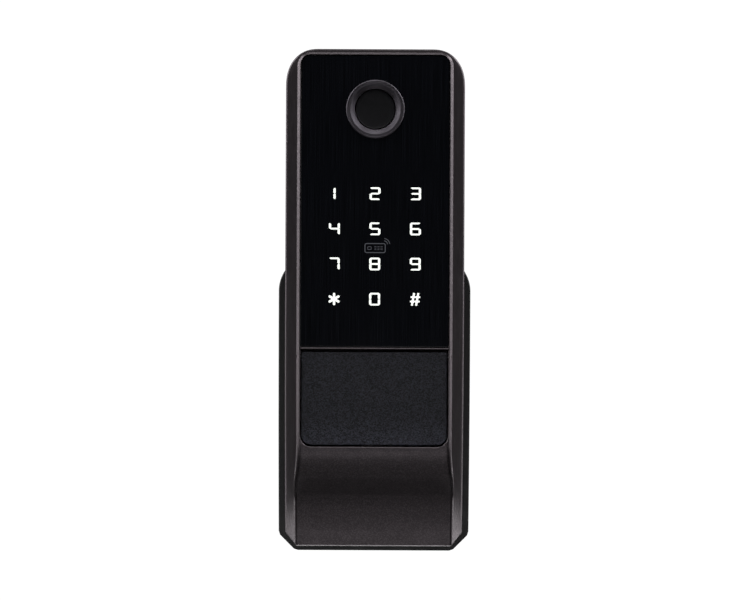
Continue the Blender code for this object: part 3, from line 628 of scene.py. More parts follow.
def lit_finish(name, colour, strength):
    """A lit window: its light is a little uneven, as from a diode behind it."""
    lit = new_finish(name, shade(colour, 0.7), 0.3, 0.0, 0.3)
    shader = shader_of(lit)
    glow = mixed(lit, ranged(lit, noise(lit, 400, 2), (0.3, 0.7), 0, 1), shade(colour, 0.93), colour)
    join(lit, glow, shader.inputs["Emission Color"])
    shader.inputs["Emission Strength"].default_value = strength
    return lit


PAINT = bronze_paint()
GLASS = panel_glass()
COVER = cover_plastic()
PLATE = plain_finish(
    "satin_black_plate", (0.0050, 0.0048, 0.0056), (0.50, 0.0, 0.35),
    (400, 4, 0.8, 1.25), (150, 3, 0.46, 0.56), (2200, 3, 0.000010),
)
RUBBER = plain_finish(
    "black_rubber", (0.012, 0.012, 0.012), (0.85, 0.0, 0.3),
    (500, 4, 0.7, 1.5), (300, 2, 0.78, 0.92), (1600, 4, 0.000020),
)
SENSOR = plain_finish(
    "sensor_coating", (0.0042, 0.0040, 0.0060), (0.42, 0.0, 0.35),
    (900, 4, 0.75, 1.3), (500, 2, 0.38, 0.48), (3500, 2, 0.000003),
)
RING = ring_finish()
STEEL = plain_finish(
    "zinc_plated_steel", (0.50, 0.50, 0.52), (0.38, 1.0), (180, 4, 0.82, 1.08), (300, 2, 0.36, 0.42)
)
BLACKENED = plain_finish(
    "blackened_steel", (0.030, 0.030, 0.033), (0.55, 0.6),
    (300, 3, 0.8, 1.2), (500, 2, 0.50, 0.60), (1200, 2, 0.000003),
)
BRASS = brass_finish()
BOARD = board_finish()
WHITE = plain_finish(
    "moulded_white_plastic", (0.78, 0.78, 0.76), (0.40, 0.0, 0.5),
    (150, 3, 0.93, 1.0), (400, 2, 0.35, 0.48), (1800, 2, 0.000004),
)
COPPER = plain_finish(
    "copper_on_film", (0.80, 0.38, 0.20), (0.34, 1.0),
    (200, 4, 0.75, 1.0), (700, 2, 0.28, 0.42), (1200, 2, 0.000003),
)
LIT = lit_finish("lit_legend", (0.96, 1.0, 0.94), 1.02)
DIM = lit_finish("dim_symbol", (0.052, 0.054, 0.062), 1.0)
DIODE = lit_finish("lit_diode", (1.0, 1.0, 0.95), 1.5)


# ---------------------------------------------------------------- housing

def scoop_drop(z):
    """How far the front has swept back below the key pocket, at height z."""
    left = max(0.0, SCOOP_START - z)
    drop = 0.0
    angle = 0.0
    for height, end in SCOOP_BENDS:
        end = math.radians(end)
        part = min(left, height)
        if end == angle:
            drop += part * math.tan(angle)
        else:
            radius = height / (math.sin(end) - math.sin(angle))
            reached = math.asin(math.sin(angle) + part / radius)
            drop += radius * (math.cos(angle) - math.cos(reached))
        left -= part
        angle = end
    return drop


def foot_taper(z, amount):
    """How much each side has drawn in at height z, below the middle of the lock."""
    return amount * (min(z, 0.0) / (RIM_BOTTOM + RIM_CHAMFER)) ** 2


def smooth_share(value, start, end):
    share = min(max((value - start) / (end - start), 0.0), 1.0)
    return share * share * (3 - 2 * share)


def side_heights():
    heights = spread(RIM_BOTTOM + RIM_CHAMFER + 0.9 * MM, SCOOP_START + 1 * MM, 36)
    heights += spread(-48 * MM, RIM_TOP - RIM_CORNER[1], 12)
    return heights


def foot_corner(half_width, low):
    """The straight cut across a bottom corner, with its ends eased, for any layer of the housing."""
    cut_sum = RIM_HALF_WIDTH - FOOT_TAPER - RIM_BOTTOM - RIM_CHAMFER
    start = min(cut_sum + low, half_width - LEAST_CORNER)
    end = max(half_width - cut_sum, low + LEAST_CORNER)
    ease = min(FOOT_CORNER_ROUND, 0.4 * (half_width - start))
    slant = ease * math.sqrt(0.5)
    return [
        (start - ease, low), (start + slant, low + slant),
        (half_width - slant, end - slant), (half_width, end + ease),
    ]


def squared_arc(centre, radii, power, steps):
    """A quarter of a squared ellipse, from its right side to its top."""
    points = []
    for i in range(1, steps + 1):
        angle = math.pi / 2 * i / steps
        x = abs(math.cos(angle)) ** (2 / power)
        z = math.sin(angle) ** (2 / power)
        points.append((centre[0] + radii[0] * x, centre[1] + radii[1] * z))
    return points


def rim_ring(inset, depth):
    """Outline of the housing's rim, drawn in by inset."""
    right = foot_corner(RIM_HALF_WIDTH - FOOT_TAPER - inset, RIM_BOTTOM + inset)
    right += [(RIM_HALF_WIDTH - foot_taper(z, FOOT_TAPER) - inset, z) for z in side_heights()]
    centre = (RIM_HALF_WIDTH - RIM_CORNER[0], RIM_TOP - RIM_CORNER[1])
    radii = (RIM_CORNER[0] - inset, RIM_CORNER[1] - inset)
    right += squared_arc(centre, radii, RIM_CORNER_POWER, 20)
    return [(x, -depth, z) for x, z in mirrored(right)]


def edge_half_width(z):
    flare = SCOOP_FLARE * smooth_share(z, SCOOP_START, SCOOP_FLARE_END)
    return FRONT_HALF_WIDTH + flare - foot_taper(z, FOOT_TAPER)


def edge_step(z, share):
    """Inset and sink of the front's edge at height z, share of the way from the wall to the front."""
    position = share * (len(CRISP_EDGE) - 1)
    index = min(int(position), len(CRISP_EDGE) - 2)
    crisp = Vector(CRISP_EDGE[index]).lerp(Vector(CRISP_EDGE[index + 1]), position - index)
    firmness = smooth_share(z, *FIRM_EDGE_SPAN)
    start, bend, end = (Vector(a).lerp(Vector(b), firmness) for a, b in zip(SOFT_EDGE, FIRM_EDGE))
    soft = start * (1 - share) ** 2 + bend * 2 * share * (1 - share) + end * share ** 2
    inset, sink = crisp.lerp(soft, smooth_share(z, *SOFT_EDGE_SPAN)) * MM
    return inset, sink


def front_ring(share):
    """Outline of the front's edge, which follows the scoop."""
    side_inset, side_sink = edge_step(0, share)
    top_inset = side_inset * TOP_EDGE_SHARE
    low = FRONT_BOTTOM + side_inset * FOOT_EDGE_SHARES[0]
    low_sink = side_sink * FOOT_EDGE_SHARES[1]
    points = foot_corner(edge_half_width(low) - edge_step(low, share)[0], low)
    points += [(edge_half_width(z) - edge_step(z, share)[0], z) for z in side_heights()[:-1]]
    half_width = FRONT_HALF_WIDTH - side_inset
    corner = FRONT_CORNER - side_inset
    points += arc((half_width - corner, FRONT_TOP - top_inset - corner), (corner, corner), 0, 90, 20)
    ring = []
    for x, z in mirrored(points):
        sink = low_sink if z == low else edge_step(z, share)[1]
        ring.append((x, -(FRONT_DEPTH - scoop_drop(z)) + sink, z))
    return ring


def between(first, second, share):
    return [Vector(a).lerp(Vector(b), share) for a, b in zip(first, second)]


def lipped(name, outline, floor, lip):
    """A cutter with a small bevel where it meets the front."""
    wide = lip + 1 * MM
    layers = ((0, floor), (0, FRONT_DEPTH - lip), (-wide, FRONT_DEPTH + 1 * MM))
    return layered(name, outline, layers)


def housing_cutters():
    recess = rounded_outline(
        PANEL_HALF_WIDTH + RECESS_MARGIN,
        PANEL_BOTTOM - RECESS_MARGIN,
        PANEL_TOP + RECESS_MARGIN,
        [radius + RECESS_MARGIN for radius in PANEL_CORNERS],
    )
    window = rounded_outline(*WINDOW, (0.5 * MM, 0.5 * MM), 4)
    pocket = rounded_outline(*POCKET, POCKET_CORNERS)
    divider = PANEL_BOTTOM - RECESS_MARGIN
    reach_out = (DIVIDER_TOOL_RADIUS - DIVIDER_BEVEL) / 2
    bevel_place = (divider + reach_out, FRONT_DEPTH + reach_out)
    back, front = CAVITY_HALF_WIDTHS
    shallow = POCKET_FLOOR - 2 * MM
    depths = (REAR_DEPTH - 1 * MM, CAVITY_FRONT)
    deep_back = rounded_outline(back, CAVITY_STEP, CAVITY_TOPS[0], (1 * MM, 9.5 * MM))
    deep_front = rounded_outline(front, CAVITY_STEP, CAVITY_TOPS[1], (1 * MM, 4.5 * MM))
    high = CAVITY_STEP + 5 * MM
    low_back = rounded_outline(back - 1.2 * MM, CAVITY_BOTTOM, high, (3 * MM, 0.5 * MM))
    low_front = rounded_outline(back - 2.4 * MM, CAVITY_BOTTOM + 1 * MM, high, (3 * MM, 0.5 * MM))
    return (
        lipped("recess", recess, RECESS_FLOOR, RECESS_LIP),
        prism("window", window, (CAVITY_FRONT - 1 * MM, RECESS_FLOOR + 1 * MM)),
        lipped("pocket", pocket, POCKET_FLOOR, POCKET_LIP),
        rod("divider_bevel", DIVIDER_TOOL_RADIUS, PANEL_HALF_WIDTH, *bevel_place, 4),
        tapered("deep_cavity", deep_back, deep_front, depths),
        tapered("low_cavity", low_back, low_front, (depths[0], shallow)),
    )


def housing_bosses():
    start = reach("rear_cover")[1][1] + GAP
    bosses = []
    for name in SCREW_NODES:
        centre = middle(name)
        end = CAVITY_FRONT + 1 * MM if centre[1] > 0 else POCKET_FLOOR
        bosses.append(disc(f"boss_{name}", SCREW_BOSS_RADIUS, (start, end), centre))
    catch_top = MAGNET_PLACE[1] + 3.1 * MM
    catch_bottom = POCKET[1] - 1 * MM
    catch = rectangle((0, (catch_top + catch_bottom) / 2), (4 * MM, (catch_top - catch_bottom) / 2))
    bosses.append(prism("catch_block", catch, (POCKET_FLOOR - 1 * MM, 20.3 * MM)))
    return bosses


def housing_holes():
    holes = []
    for name in SCREW_NODES:
        holes.append(disc(f"pilot_{name}", SCREW_RADIUS + GAP, (BEHIND, 11 * MM), middle(name), 24))
    through = (BEHIND, POCKET_FLOOR + 1 * MM)
    holes.append(disc("cylinder_hole", CYLINDER_RADIUS + GAP, through, CYLINDER_PLACE))
    halves = [half + GAP for half in PORT_HALVES]
    x, z = PORT_PLACE
    port = rounded_outline(halves[0], z - halves[1], z + halves[1], (1.7 * MM, 1.7 * MM), 6, x)
    holes.append(prism("port_hole", port, through))
    holes.append(disc("catch_hole", MAGNET_RADIUS + GAP, (18.5 * MM, BEYOND), MAGNET_PLACE, 40))
    holes.append(rod("hinge_hole", HINGE_PIN_RADIUS + GAP, HINGE_REACH + GAP, HINGE_PLACE, HINGE_DEPTH, 24))
    return holes


def make_housing():
    bevel = FLANGE_BEVEL
    rim = [
        rim_ring(0.12 * MM, REAR_DEPTH),
        rim_ring(0, REAR_DEPTH + 0.12 * MM),
        rim_ring(0, FLANGE_DEPTH - 0.05 * MM),
        rim_ring(0.05 * MM, FLANGE_DEPTH + 0.07 * MM),
        rim_ring(bevel - 0.05 * MM, FLANGE_DEPTH + bevel - 0.03 * MM),
        rim_ring(bevel + 0.04 * MM, FLANGE_DEPTH + bevel + 0.10 * MM),
    ]
    edge = [front_ring(share) for share in spread(0, 1, 11)]
    wall = [between(rim[-1], edge[0], share) for share in (0.03, 0.25, 0.5, 0.75, 0.97)]
    housing = loft("housing_shell", rim + wall + edge)
    carve(housing, housing_cutters())
    carve(housing, housing_bosses(), "UNION")
    carve(housing, housing_holes())
    place(housing, PAINT, "root", "bronze_paint", "housing")


# ---------------------------------------------------------------- front

def make_panel():
    outline = rounded_outline(PANEL_HALF_WIDTH, PANEL_BOTTOM, PANEL_TOP, PANEL_CORNERS)
    panel = layered("panel_face", outline, edge_layers(PANEL_DEPTHS, 0.05 * MM, 0.18 * MM))
    carve(panel, [disc("reader_hole", READER_BARREL_RADIUS + GAP, (BEHIND, BEYOND), READER_PLACE, 96)])
    place(panel, GLASS, "root", "panel_black", "front_panel")


def make_reader():
    bottom = reach("fingerprint_ring")[1][0]
    seat = PANEL_FACE + GAP / 3
    outer = READER_RING_RADIUS - 0.2 * MM
    profile = softened(
        (
            (READER_BORE_RADIUS, bottom), (READER_BARREL_RADIUS, bottom), (READER_BARREL_RADIUS, seat),
            (outer, seat), (outer, READER_FACE - 0.30 * MM), (outer - 0.30 * MM, READER_FACE),
            (outer - 0.46 * MM, READER_FACE), (outer - 0.64 * MM, READER_FACE - 0.16 * MM),
            (outer - 0.84 * MM, READER_FACE - 0.02 * MM), (READER_CONE_RADIUS, READER_FACE - 0.03 * MM),
            (READER_BORE_RADIUS, PANEL_FACE - READER_CONE_SINK),
        ),
        0.06 * MM,
        closed=True,
    )
    ring = turned("reader_bezel", profile, READER_PLACE, 160)
    place(ring, RING, "root", "ring_metal", "fingerprint_ring")
    radius, (back, front), _ = reach("fingerprint_sensor")
    crown = 0.06 * MM
    face = [(0, back), (radius, back), (radius, front - 0.25 * MM), (radius - 0.1 * MM, front - 0.1 * MM)]
    for share in spread(0, 1, 8):
        face.append(((radius - 0.3 * MM) * (1 - share), front - crown * (1 - share) ** 2))
    sensor = turned("reader_face", face, READER_PLACE, 128)
    place(sensor, SENSOR, "root", "sensor_black", "fingerprint_sensor")


def cover_bow(z):
    """The cover's face leans back a little towards its foot."""
    return COVER_BOW * smooth_share(z, COVER_BOTTOM + COVER_BOW_HEIGHT, COVER_BOTTOM - 2 * MM)


def make_cover():
    outline = rounded_outline(COVER_HALF_WIDTH, COVER_BOTTOM, COVER_TOP, COVER_CORNERS)
    right = outline[: len(outline) // 2]
    corner_end = CORNER_STEPS + 1
    sides = [(COVER_HALF_WIDTH, z) for z in spread(right[corner_end - 1][1] + 1 * MM, -24 * MM, 14)]
    outline = mirrored(right[:corner_end] + sides + right[corner_end:])
    rings = []
    for inset, depth in edge_layers(COVER_DEPTHS, 0.15 * MM, 0.4 * MM):
        front_share = (depth - COVER_DEPTHS[0]) / (COVER_DEPTHS[1] - COVER_DEPTHS[0])
        ring = drawn_in(outline, inset)
        rings.append([(x, -depth + cover_bow(z) * front_share, z) for x, z in ring])
    cover = loft("cover_flap", rings)
    barrel = rod("barrel", HINGE_BARREL_RADIUS, COVER_HALF_WIDTH - 0.4 * MM, HINGE_PLACE, HINGE_DEPTH)
    carve(cover, [barrel], "UNION")
    pocket = (COVER_DEPTHS[0] - 1 * MM, COVER_DEPTHS[1] - 0.7 * MM)
    bore = rod("bore", HINGE_PIN_RADIUS + GAP, 30 * MM, HINGE_PLACE, HINGE_DEPTH)
    carve(cover, [bore, disc("magnet_hole", MAGNET_RADIUS + GAP, pocket, MAGNET_PLACE, 40)])
    place(cover, COVER, "key_cover", "cover_plastic", "key_cover")


# ---------------------------------------------------------------- legends

LEGEND_BACK = PANEL_FACE - 0.05 * MM
LEGEND_FRONT = PANEL_FACE + 0.02 * MM
DIGIT_HALVES = (1.95 * MM, 2.25 * MM)
STROKES = (0.80 * MM, 0.60 * MM)      # upright and level
CORNER_CUT = 0.5 * MM
NOTCH = 0.16 * MM
SEGMENTS_OF = {
    "1": "BC",
    "2": "ABGED",
    "3": "ABGCD",
    "4": "FGBC",
    "5": "AFGCD",
    "6": "AFGECD",
    "7": "ABC",
    "8": "ABCDEFG",
    "9": "ABFGCD",
    "0": "ABCDEF",
}


def segment_outlines():
    """The seven segments of a digit, with mitred ends and cut outer corners."""
    width, height = DIGIT_HALVES
    upright_stroke, level_stroke = STROKES
    cut = CORNER_CUT
    inner_x = width - upright_stroke
    inner_z = height - level_stroke
    half = level_stroke / 2
    top = [
        (width - cut, height), (-width + cut, height), (-width + cut / 2, height - cut / 2),
        (-inner_x, inner_z), (inner_x, inner_z), (width - cut / 2, height - cut / 2),
    ]
    side = [
        (width, height - cut), (width - cut / 2, height - cut / 2), (inner_x, inner_z), (inner_x, half),
        (width - upright_stroke / 2, 0), (width, NOTCH),
    ]
    bar = [
        (width - upright_stroke / 2, 0), (inner_x, half), (-inner_x, half),
        (-width + upright_stroke / 2, 0), (-inner_x, -half), (inner_x, -half),
    ]
    return {
        "A": top,
        "B": side,
        "C": [(x, -z) for x, z in side],
        "D": [(x, -z) for x, z in top],
        "E": [(-x, -z) for x, z in side],
        "F": [(-x, z) for x, z in side],
        "G": bar,
    }


def digit_outlines(digit, centre):
    shift = -DIGIT_HALVES[0] + STROKES[0] / 2 if digit == "1" else 0.0
    outlines = []
    for segment in SEGMENTS_OF[digit]:
        outlines.append([(centre[0] + x + shift, centre[1] + z) for x, z in segment_outlines()[segment]])
    return outlines


def bar_outline(centre, angle, half_length, half_stroke, ends=0.0, steps=6):
    """A straight stroke at an angle from the vertical, with round or cut ends."""
    along = Vector((math.sin(angle), math.cos(angle)))
    across = Vector((along.y, -along.x))
    middle_point = Vector(centre)
    if not ends:
        corners = ((1, -1), (1, 1), (-1, 1), (-1, -1))
        return [
            tuple(middle_point + across * half_stroke * i + along * half_length * j) for i, j in corners
        ]
    straight = half_length - half_stroke
    points = []
    for side, start in ((1, 0.0), (-1, math.pi)):
        for k in range(steps + 1):
            turn = start + math.pi * k / steps
            offset = across * math.cos(turn) * half_stroke + along * math.sin(turn) * half_stroke
            points.append(tuple(middle_point + along * straight * side + offset))
    return points


def star_outlines(centre):
    outlines = [bar_outline(centre, 0, 2.2 * MM, 0.42 * MM, 1)]
    for angle in (60, -60):
        outlines.append(bar_outline(centre, math.radians(angle), 2.2 * MM, 0.42 * MM, 1))
    return outlines


def hash_outlines(centre):
    lean = math.radians(10)
    outlines = []
    for side in (-1, 1):
        outlines.append(bar_outline((centre[0] + side * 0.75 * MM, centre[1]), lean, 2.28 * MM, 0.36 * MM))
        level = (centre[0] + side * 0.1 * MM, centre[1] + side * 0.78 * MM)
        outlines.append(bar_outline(level, math.radians(90), 1.7 * MM, 0.29 * MM))
    return outlines


def stencil(name, outlines, finish, front=LEGEND_FRONT):
    """A window of several strokes in the panel's face, each a thin closed solid."""
    mesh = bmesh.new()
    for outline in outlines:
        rings = [[(x, -depth, z) for x, z in outline] for depth in (LEGEND_BACK, front)]
        for loop in bridged(mesh, rings):
            mesh.faces.new(loop)
    return place(made(name, mesh), finish, "root", "key_light")


def make_legends():
    keys = [name.removeprefix("key_led_") for name in sorted(NODES) if name.startswith("key_led_")]
    for key in keys:
        centre = middle(f"key_led_{key}")
        if key == "star":
            outlines = star_outlines(centre)
        elif key == "hash":
            outlines = hash_outlines(centre)
        else:
            outlines = digit_outlines(key, centre)
        stencil(f"legend_{key}", outlines, LIT)


def frame_outlines(centre, halves, corner, line):
    """A rounded frame, as four straight strokes and four corner arcs."""
    x, z = halves
    outlines = []
    for side in (-1, 1):
        outlines.append(rectangle((centre[0], centre[1] + side * z), (x - corner, line / 2)))
        outlines.append(rectangle((centre[0] + side * x, centre[1]), (line / 2, z - corner)))
    for i, j, start in ((1, 1, 0), (-1, 1, 90), (-1, -1, 180), (1, -1, 270)):
        pivot = (centre[0] + i * (x - corner), centre[1] + j * (z - corner))
        outlines.append(arc_outline(pivot, corner, line, start, start + 90))
    return outlines


def arc_outline(centre, radius, line, start, end, steps=10):
    outer = arc(centre, (radius + line / 2,) * 2, start, end, steps)
    inner = arc(centre, (radius - line / 2,) * 2, end, start, steps)
    return outer + inner


def make_card_symbol():
    """A card with waves at its corner, which shows where a card is read."""
    centre = (0.1 * MM, 17.6 * MM)
    halves = (3.6 * MM, 1.6 * MM)
    line = 0.32 * MM
    outlines = frame_outlines(centre, halves, 0.6 * MM, line)
    corner = (3.2 * MM, 18.9 * MM)
    for radius in (1.3 * MM, 2.1 * MM):
        outlines.append(arc_outline(corner, radius, 0.28 * MM, 5, 85))
    stencil("card_symbol", outlines, DIM)
    chip = frame_outlines((centre[0] - 2.0 * MM, centre[1]), (0.62 * MM, 0.5 * MM), 0.2 * MM, 0.2 * MM)
    for row in (-1, 0, 1):
        for column in range(3):
            mark = (centre[0] + (0.1 + 1.1 * column) * MM, centre[1] + row * 0.55 * MM)
            chip.append(rectangle(mark, (0.38 * MM, 0.09 * MM)))
    stencil("card_chip_mark", chip, DIM)


# ---------------------------------------------------------------- pocket

def make_cylinder():
    low, high = CYLINDER_DEPTHS
    shoulder = POCKET_FLOOR + GAP
    flange = CYLINDER_RADIUS + 1.5 * MM
    profile = softened(
        (
            (0, low), (CYLINDER_RADIUS, low), (CYLINDER_RADIUS, shoulder), (flange, shoulder),
            (flange, high - 0.45 * MM), (flange - 0.45 * MM, high), (0, high),
        ),
        0.15 * MM,
    )
    body = turned("cylinder_case", profile, CYLINDER_PLACE)
    bore = PLUG_RADIUS + GAP
    flare = (
        (0, BEHIND), (bore, BEHIND), (bore, high - 0.25 * MM), (bore + 1.25 * MM, high + 1 * MM),
        (0, high + 1 * MM),
    )
    carve(body, [turned("bore", flare, PLUG_PLACE)])
    shear = PLUG_PLACE[1] + PLUG_RADIUS + GAP / 2
    top = CYLINDER_PLACE[1] + CYLINDER_RADIUS - 1.2 * MM
    chambers = [upright("chamber", PIN_RADIUS + GAP, (shear - 1 * MM, top), depth) for depth in PIN_DEPTHS]
    carve(body, chambers)
    place(body, BRASS, "root", "brass", "cylinder_body")
    make_plug()


def keyway_outline():
    """The slot that the key goes into, stepped by its wards."""
    top, bottom = KEYWAY_TOP, KEYWAY_TOP - 7.6 * MM
    wide, narrow = 0.8 * MM, 0.35 * MM
    left = [
        (-wide, top), (-wide, top - 2.2 * MM), (-narrow, top - 2.5 * MM), (-narrow, top - 3.7 * MM),
        (-wide, top - 4.0 * MM), (-wide, bottom),
    ]
    right = [
        (wide, bottom), (wide, top - 5.8 * MM), (narrow / 2, top - 5.5 * MM), (narrow / 2, top - 4.6 * MM),
        (wide, top - 4.3 * MM), (wide, top),
    ]
    return left + right


def make_plug():
    low, high = PLUG_DEPTHS
    groove = CYLINDER_DEPTHS[0] - 0.2 * MM
    groove_radius = PLUG_RADIUS - 1.0 * MM
    profile = softened(
        (
            (0, low), (PLUG_RADIUS, low), (PLUG_RADIUS, groove - 1.2 * MM),
            (groove_radius, groove - 1.2 * MM), (groove_radius, groove), (PLUG_RADIUS, groove),
            (PLUG_RADIUS, high - 0.35 * MM), (PLUG_RADIUS - 0.35 * MM, high), (0, high),
        ),
        0.12 * MM,
    )
    plug = turned("cylinder_plug_face", profile, PLUG_PLACE)
    mouth = rectangle((0, KEYWAY_TOP - 3.8 * MM), (0.8 * MM, 3.8 * MM))
    flare = layered(
        "keyway_flare", mouth, ((0, high - 0.35 * MM), (-0.35 * MM, high), (-1.35 * MM, high + 1 * MM))
    )
    keyway = prism("keyway", keyway_outline(), (-11.5 * MM, high - 0.2 * MM))
    tail = [half + GAP for half in (3.0 * MM, 0.8 * MM)]
    slot = prism("tail_slot", rectangle(PLUG_PLACE, tail), (low - 1 * MM, low + 2.2 * MM))
    shear = PLUG_PLACE[1] + PLUG_RADIUS + 1 * MM
    holes = [
        upright("pin_hole", PIN_RADIUS + GAP, (KEYWAY_TOP - 0.5 * MM, shear), depth) for depth in PIN_DEPTHS
    ]
    carve(plug, [keyway, flare, slot] + holes)
    place(plug, BRASS, "key_barrel", "brass", "cylinder_plug")
    make_tailpiece()


def make_tailpiece():
    """Flat blade with snap-off grooves, so that it can be cut to the door's thickness."""
    half_width, (end, start), (low, high) = reach("tailpiece")
    outline = softened(
        ((half_width, -start), (half_width, -end - 1 * MM), (half_width - 1 * MM, -end),
         (-half_width + 1 * MM, -end), (-half_width, -end - 1 * MM), (-half_width, -start)),
        0.4 * MM,
        closed=True,
    )
    mesh = bmesh.new()
    bevel = 0.12 * MM
    rings = []
    for inset, z in ((bevel, low), (0, low + bevel), (0, high - bevel), (bevel, high)):
        rings.append([(x, y, z) for x, y in drawn_in(outline, inset)])
    for loop in (bridged(mesh, rings)[k] for k in (0, -1)):
        mesh.faces.new(loop)
    tail = made("tail_blade", mesh)
    grooves = []
    for i in range(6):
        depth = end + (4 + 4 * i) * MM
        for side, z in ((1, high), (-1, low)):
            notch = rectangle((0, z), (half_width + 1 * MM, 0.15 * MM))
            grooves.append(prism(f"groove_{i}_{side}", notch, (depth - 0.15 * MM, depth + 0.15 * MM)))
    carve(tail, grooves)
    place(tail, STEEL, "key_barrel", "steel", "tailpiece")


def make_port():
    """Power socket: a folded steel shell with round ends."""
    low, high = reach("port_shell")[1]
    x, z = PORT_HALVES
    outline = rounded_outline(x, PORT_PLACE[1] - z, PORT_PLACE[1] + z, (1.6 * MM, 1.6 * MM), 8, PORT_PLACE[0])
    shell = layered("port_case", outline, edge_layers((low, high), 0.05 * MM, 0.15 * MM, 3))
    wall = 0.35 * MM
    layers = ((0, low + 0.7 * MM), (0, high - 0.1 * MM), (-1.1 * MM, high + 1 * MM))
    carve(shell, [layered("port_mouth", drawn_in(outline, wall), layers)])
    place(shell, STEEL, "root", "steel", "port_shell")


# ---------------------------------------------------------------- back

def round_holes(name, centres, depths, bevel=0.0):
    """Cutters for round holes, bevelled at the back if asked."""
    tools = []
    for number, (centre, radius) in enumerate(centres):
        profile = [(0, BEHIND), (radius, BEHIND), (radius, depths[1] + 1 * MM), (0, depths[1] + 1 * MM)]
        if bevel:
            back = depths[0]
            profile[0:2] = [
                (0, back - 1 * MM), (radius + bevel + 1 * MM, back - 1 * MM), (radius, back + bevel)
            ]
        tools.append(turned(f"{name}_{number}", profile, centre))
    return tools


def plate_outline():
    low = PLATE_BOTTOM + PLATE_CHAMFER
    foot = PLATE_HALF_WIDTH - PLATE_TAPER
    right = [(foot - PLATE_CHAMFER - 1.2 * MM, PLATE_BOTTOM)]
    right.append((foot - PLATE_CHAMFER + 0.3 * MM, PLATE_BOTTOM + 0.5 * MM))
    right.append((foot - 0.5 * MM, low - 0.3 * MM))
    right.append((foot, low + 1.2 * MM))
    full = RIM_BOTTOM + RIM_CHAMFER
    for z in spread(-75 * MM, -15 * MM, 5):
        right.append((PLATE_HALF_WIDTH - PLATE_TAPER * (z / full) ** 2, z))
    centre = (PLATE_HALF_WIDTH - PLATE_SHOULDER, PLATE_TOP - PLATE_SHOULDER)
    right += arc(centre, (PLATE_SHOULDER, PLATE_SHOULDER), 0, 90, 24)
    return mirrored(right)


def make_base_plate():
    plate = layered("door_plate", plate_outline(), edge_layers(PLATE_DEPTHS, 0.15 * MM, 0.5 * MM))
    holes = (
        (CYLINDER_PLACE, CYLINDER_RADIUS + GAP), (GROMMET_PLACE, GROMMET_HOLE),
        (TAMPER_PLACE, TAMPER_RADIUS + GAP), (middle(POST_NODES[1]), POST_RADIUS + GAP),
    )
    carve(plate, round_holes("plate_hole", holes, PLATE_DEPTHS, 0.3 * MM))
    place(plate, PLATE, "root", "plate_black", "base_plate")


def make_gasket():
    half_width, depths, (low, high) = reach("door_gasket")
    outline = rounded_outline(half_width, low, high, (0.5 * MM, 10.5 * MM))
    gasket = layered("door_seal", outline, edge_layers(depths, 0.6 * MM, 0.3 * MM))
    width = GASKET_WIDTH
    corners = (0.5 * MM, 5.5 * MM)
    inner = rounded_outline(half_width - width, low + width, high - width, corners)
    carve(gasket, [prism("gasket_window", inner, (BEHIND, BEYOND))])
    place(gasket, RUBBER, "root", "rubber", "door_gasket")


def make_rear_cover():
    half_width, depths, (low, high) = reach("rear_cover")
    outline = rounded_outline(half_width, low, high, (3 * MM, 8.4 * MM))
    cover = layered("back_cover", outline, edge_layers(depths, 0.25 * MM, 0.1 * MM))
    holes = [
        (CYLINDER_PLACE, CYLINDER_RADIUS + GAP),
        (GROMMET_PLACE, GROMMET_HOLE),
        (TAMPER_PLACE, TAMPER_RADIUS + GAP),
    ]
    holes += [(middle(name), POST_RADIUS + GAP) for name in POST_NODES]
    tools = round_holes("cover_hole", holes, depths, 0.15 * MM)
    head = reach(SCREW_NODES[0])[1][0]
    slack = SCREW_RADIUS + GAP
    for name in SCREW_NODES:
        countersink = (
            (0, BEHIND), (slack + 2.2 * MM, BEHIND), (slack + 1.1 * MM, head), (slack, head + 1.1 * MM),
            (slack, depths[1] + 1 * MM), (0, depths[1] + 1 * MM),
        )
        tools.append(turned(f"sink_{name}", countersink, middle(name), 48))
    carve(cover, tools)
    place(cover, STEEL, "root", "steel", "rear_cover")


def make_screws():
    """Countersunk screws with a cross recess and a rolled thread."""
    pitch = 0.5 * MM
    for name in SCREW_NODES:
        head, tip = reach(name)[1]
        centre = middle(name)
        radius = SCREW_RADIUS
        profile = [(0, head), (radius + 0.95 * MM, head), (radius + 1.1 * MM, head + 0.12 * MM)]
        profile.append((radius, head + 1.1 * MM))
        depth = head + 1.6 * MM
        while depth < tip - 0.9 * MM:
            profile += [(radius, depth), (radius - 0.22 * MM, depth + pitch / 2)]
            depth += pitch
        profile += [(radius - 0.1 * MM, tip - 0.4 * MM), (0, tip)]
        screw = turned(f"{name}_fine", profile, centre, 48)
        crosses = []
        for halves in ((0.95 * MM, 0.2 * MM), (0.2 * MM, 0.95 * MM)):
            near = rectangle(centre, halves)
            far = rectangle(centre, [half * 0.45 if half > 0.5 * MM else half for half in halves])
            crosses.append(tapered("cross", near, far, (head - 0.1 * MM, head + 0.8 * MM)))
        carve(screw, crosses)
        place(screw, STEEL, "root", "steel", name)


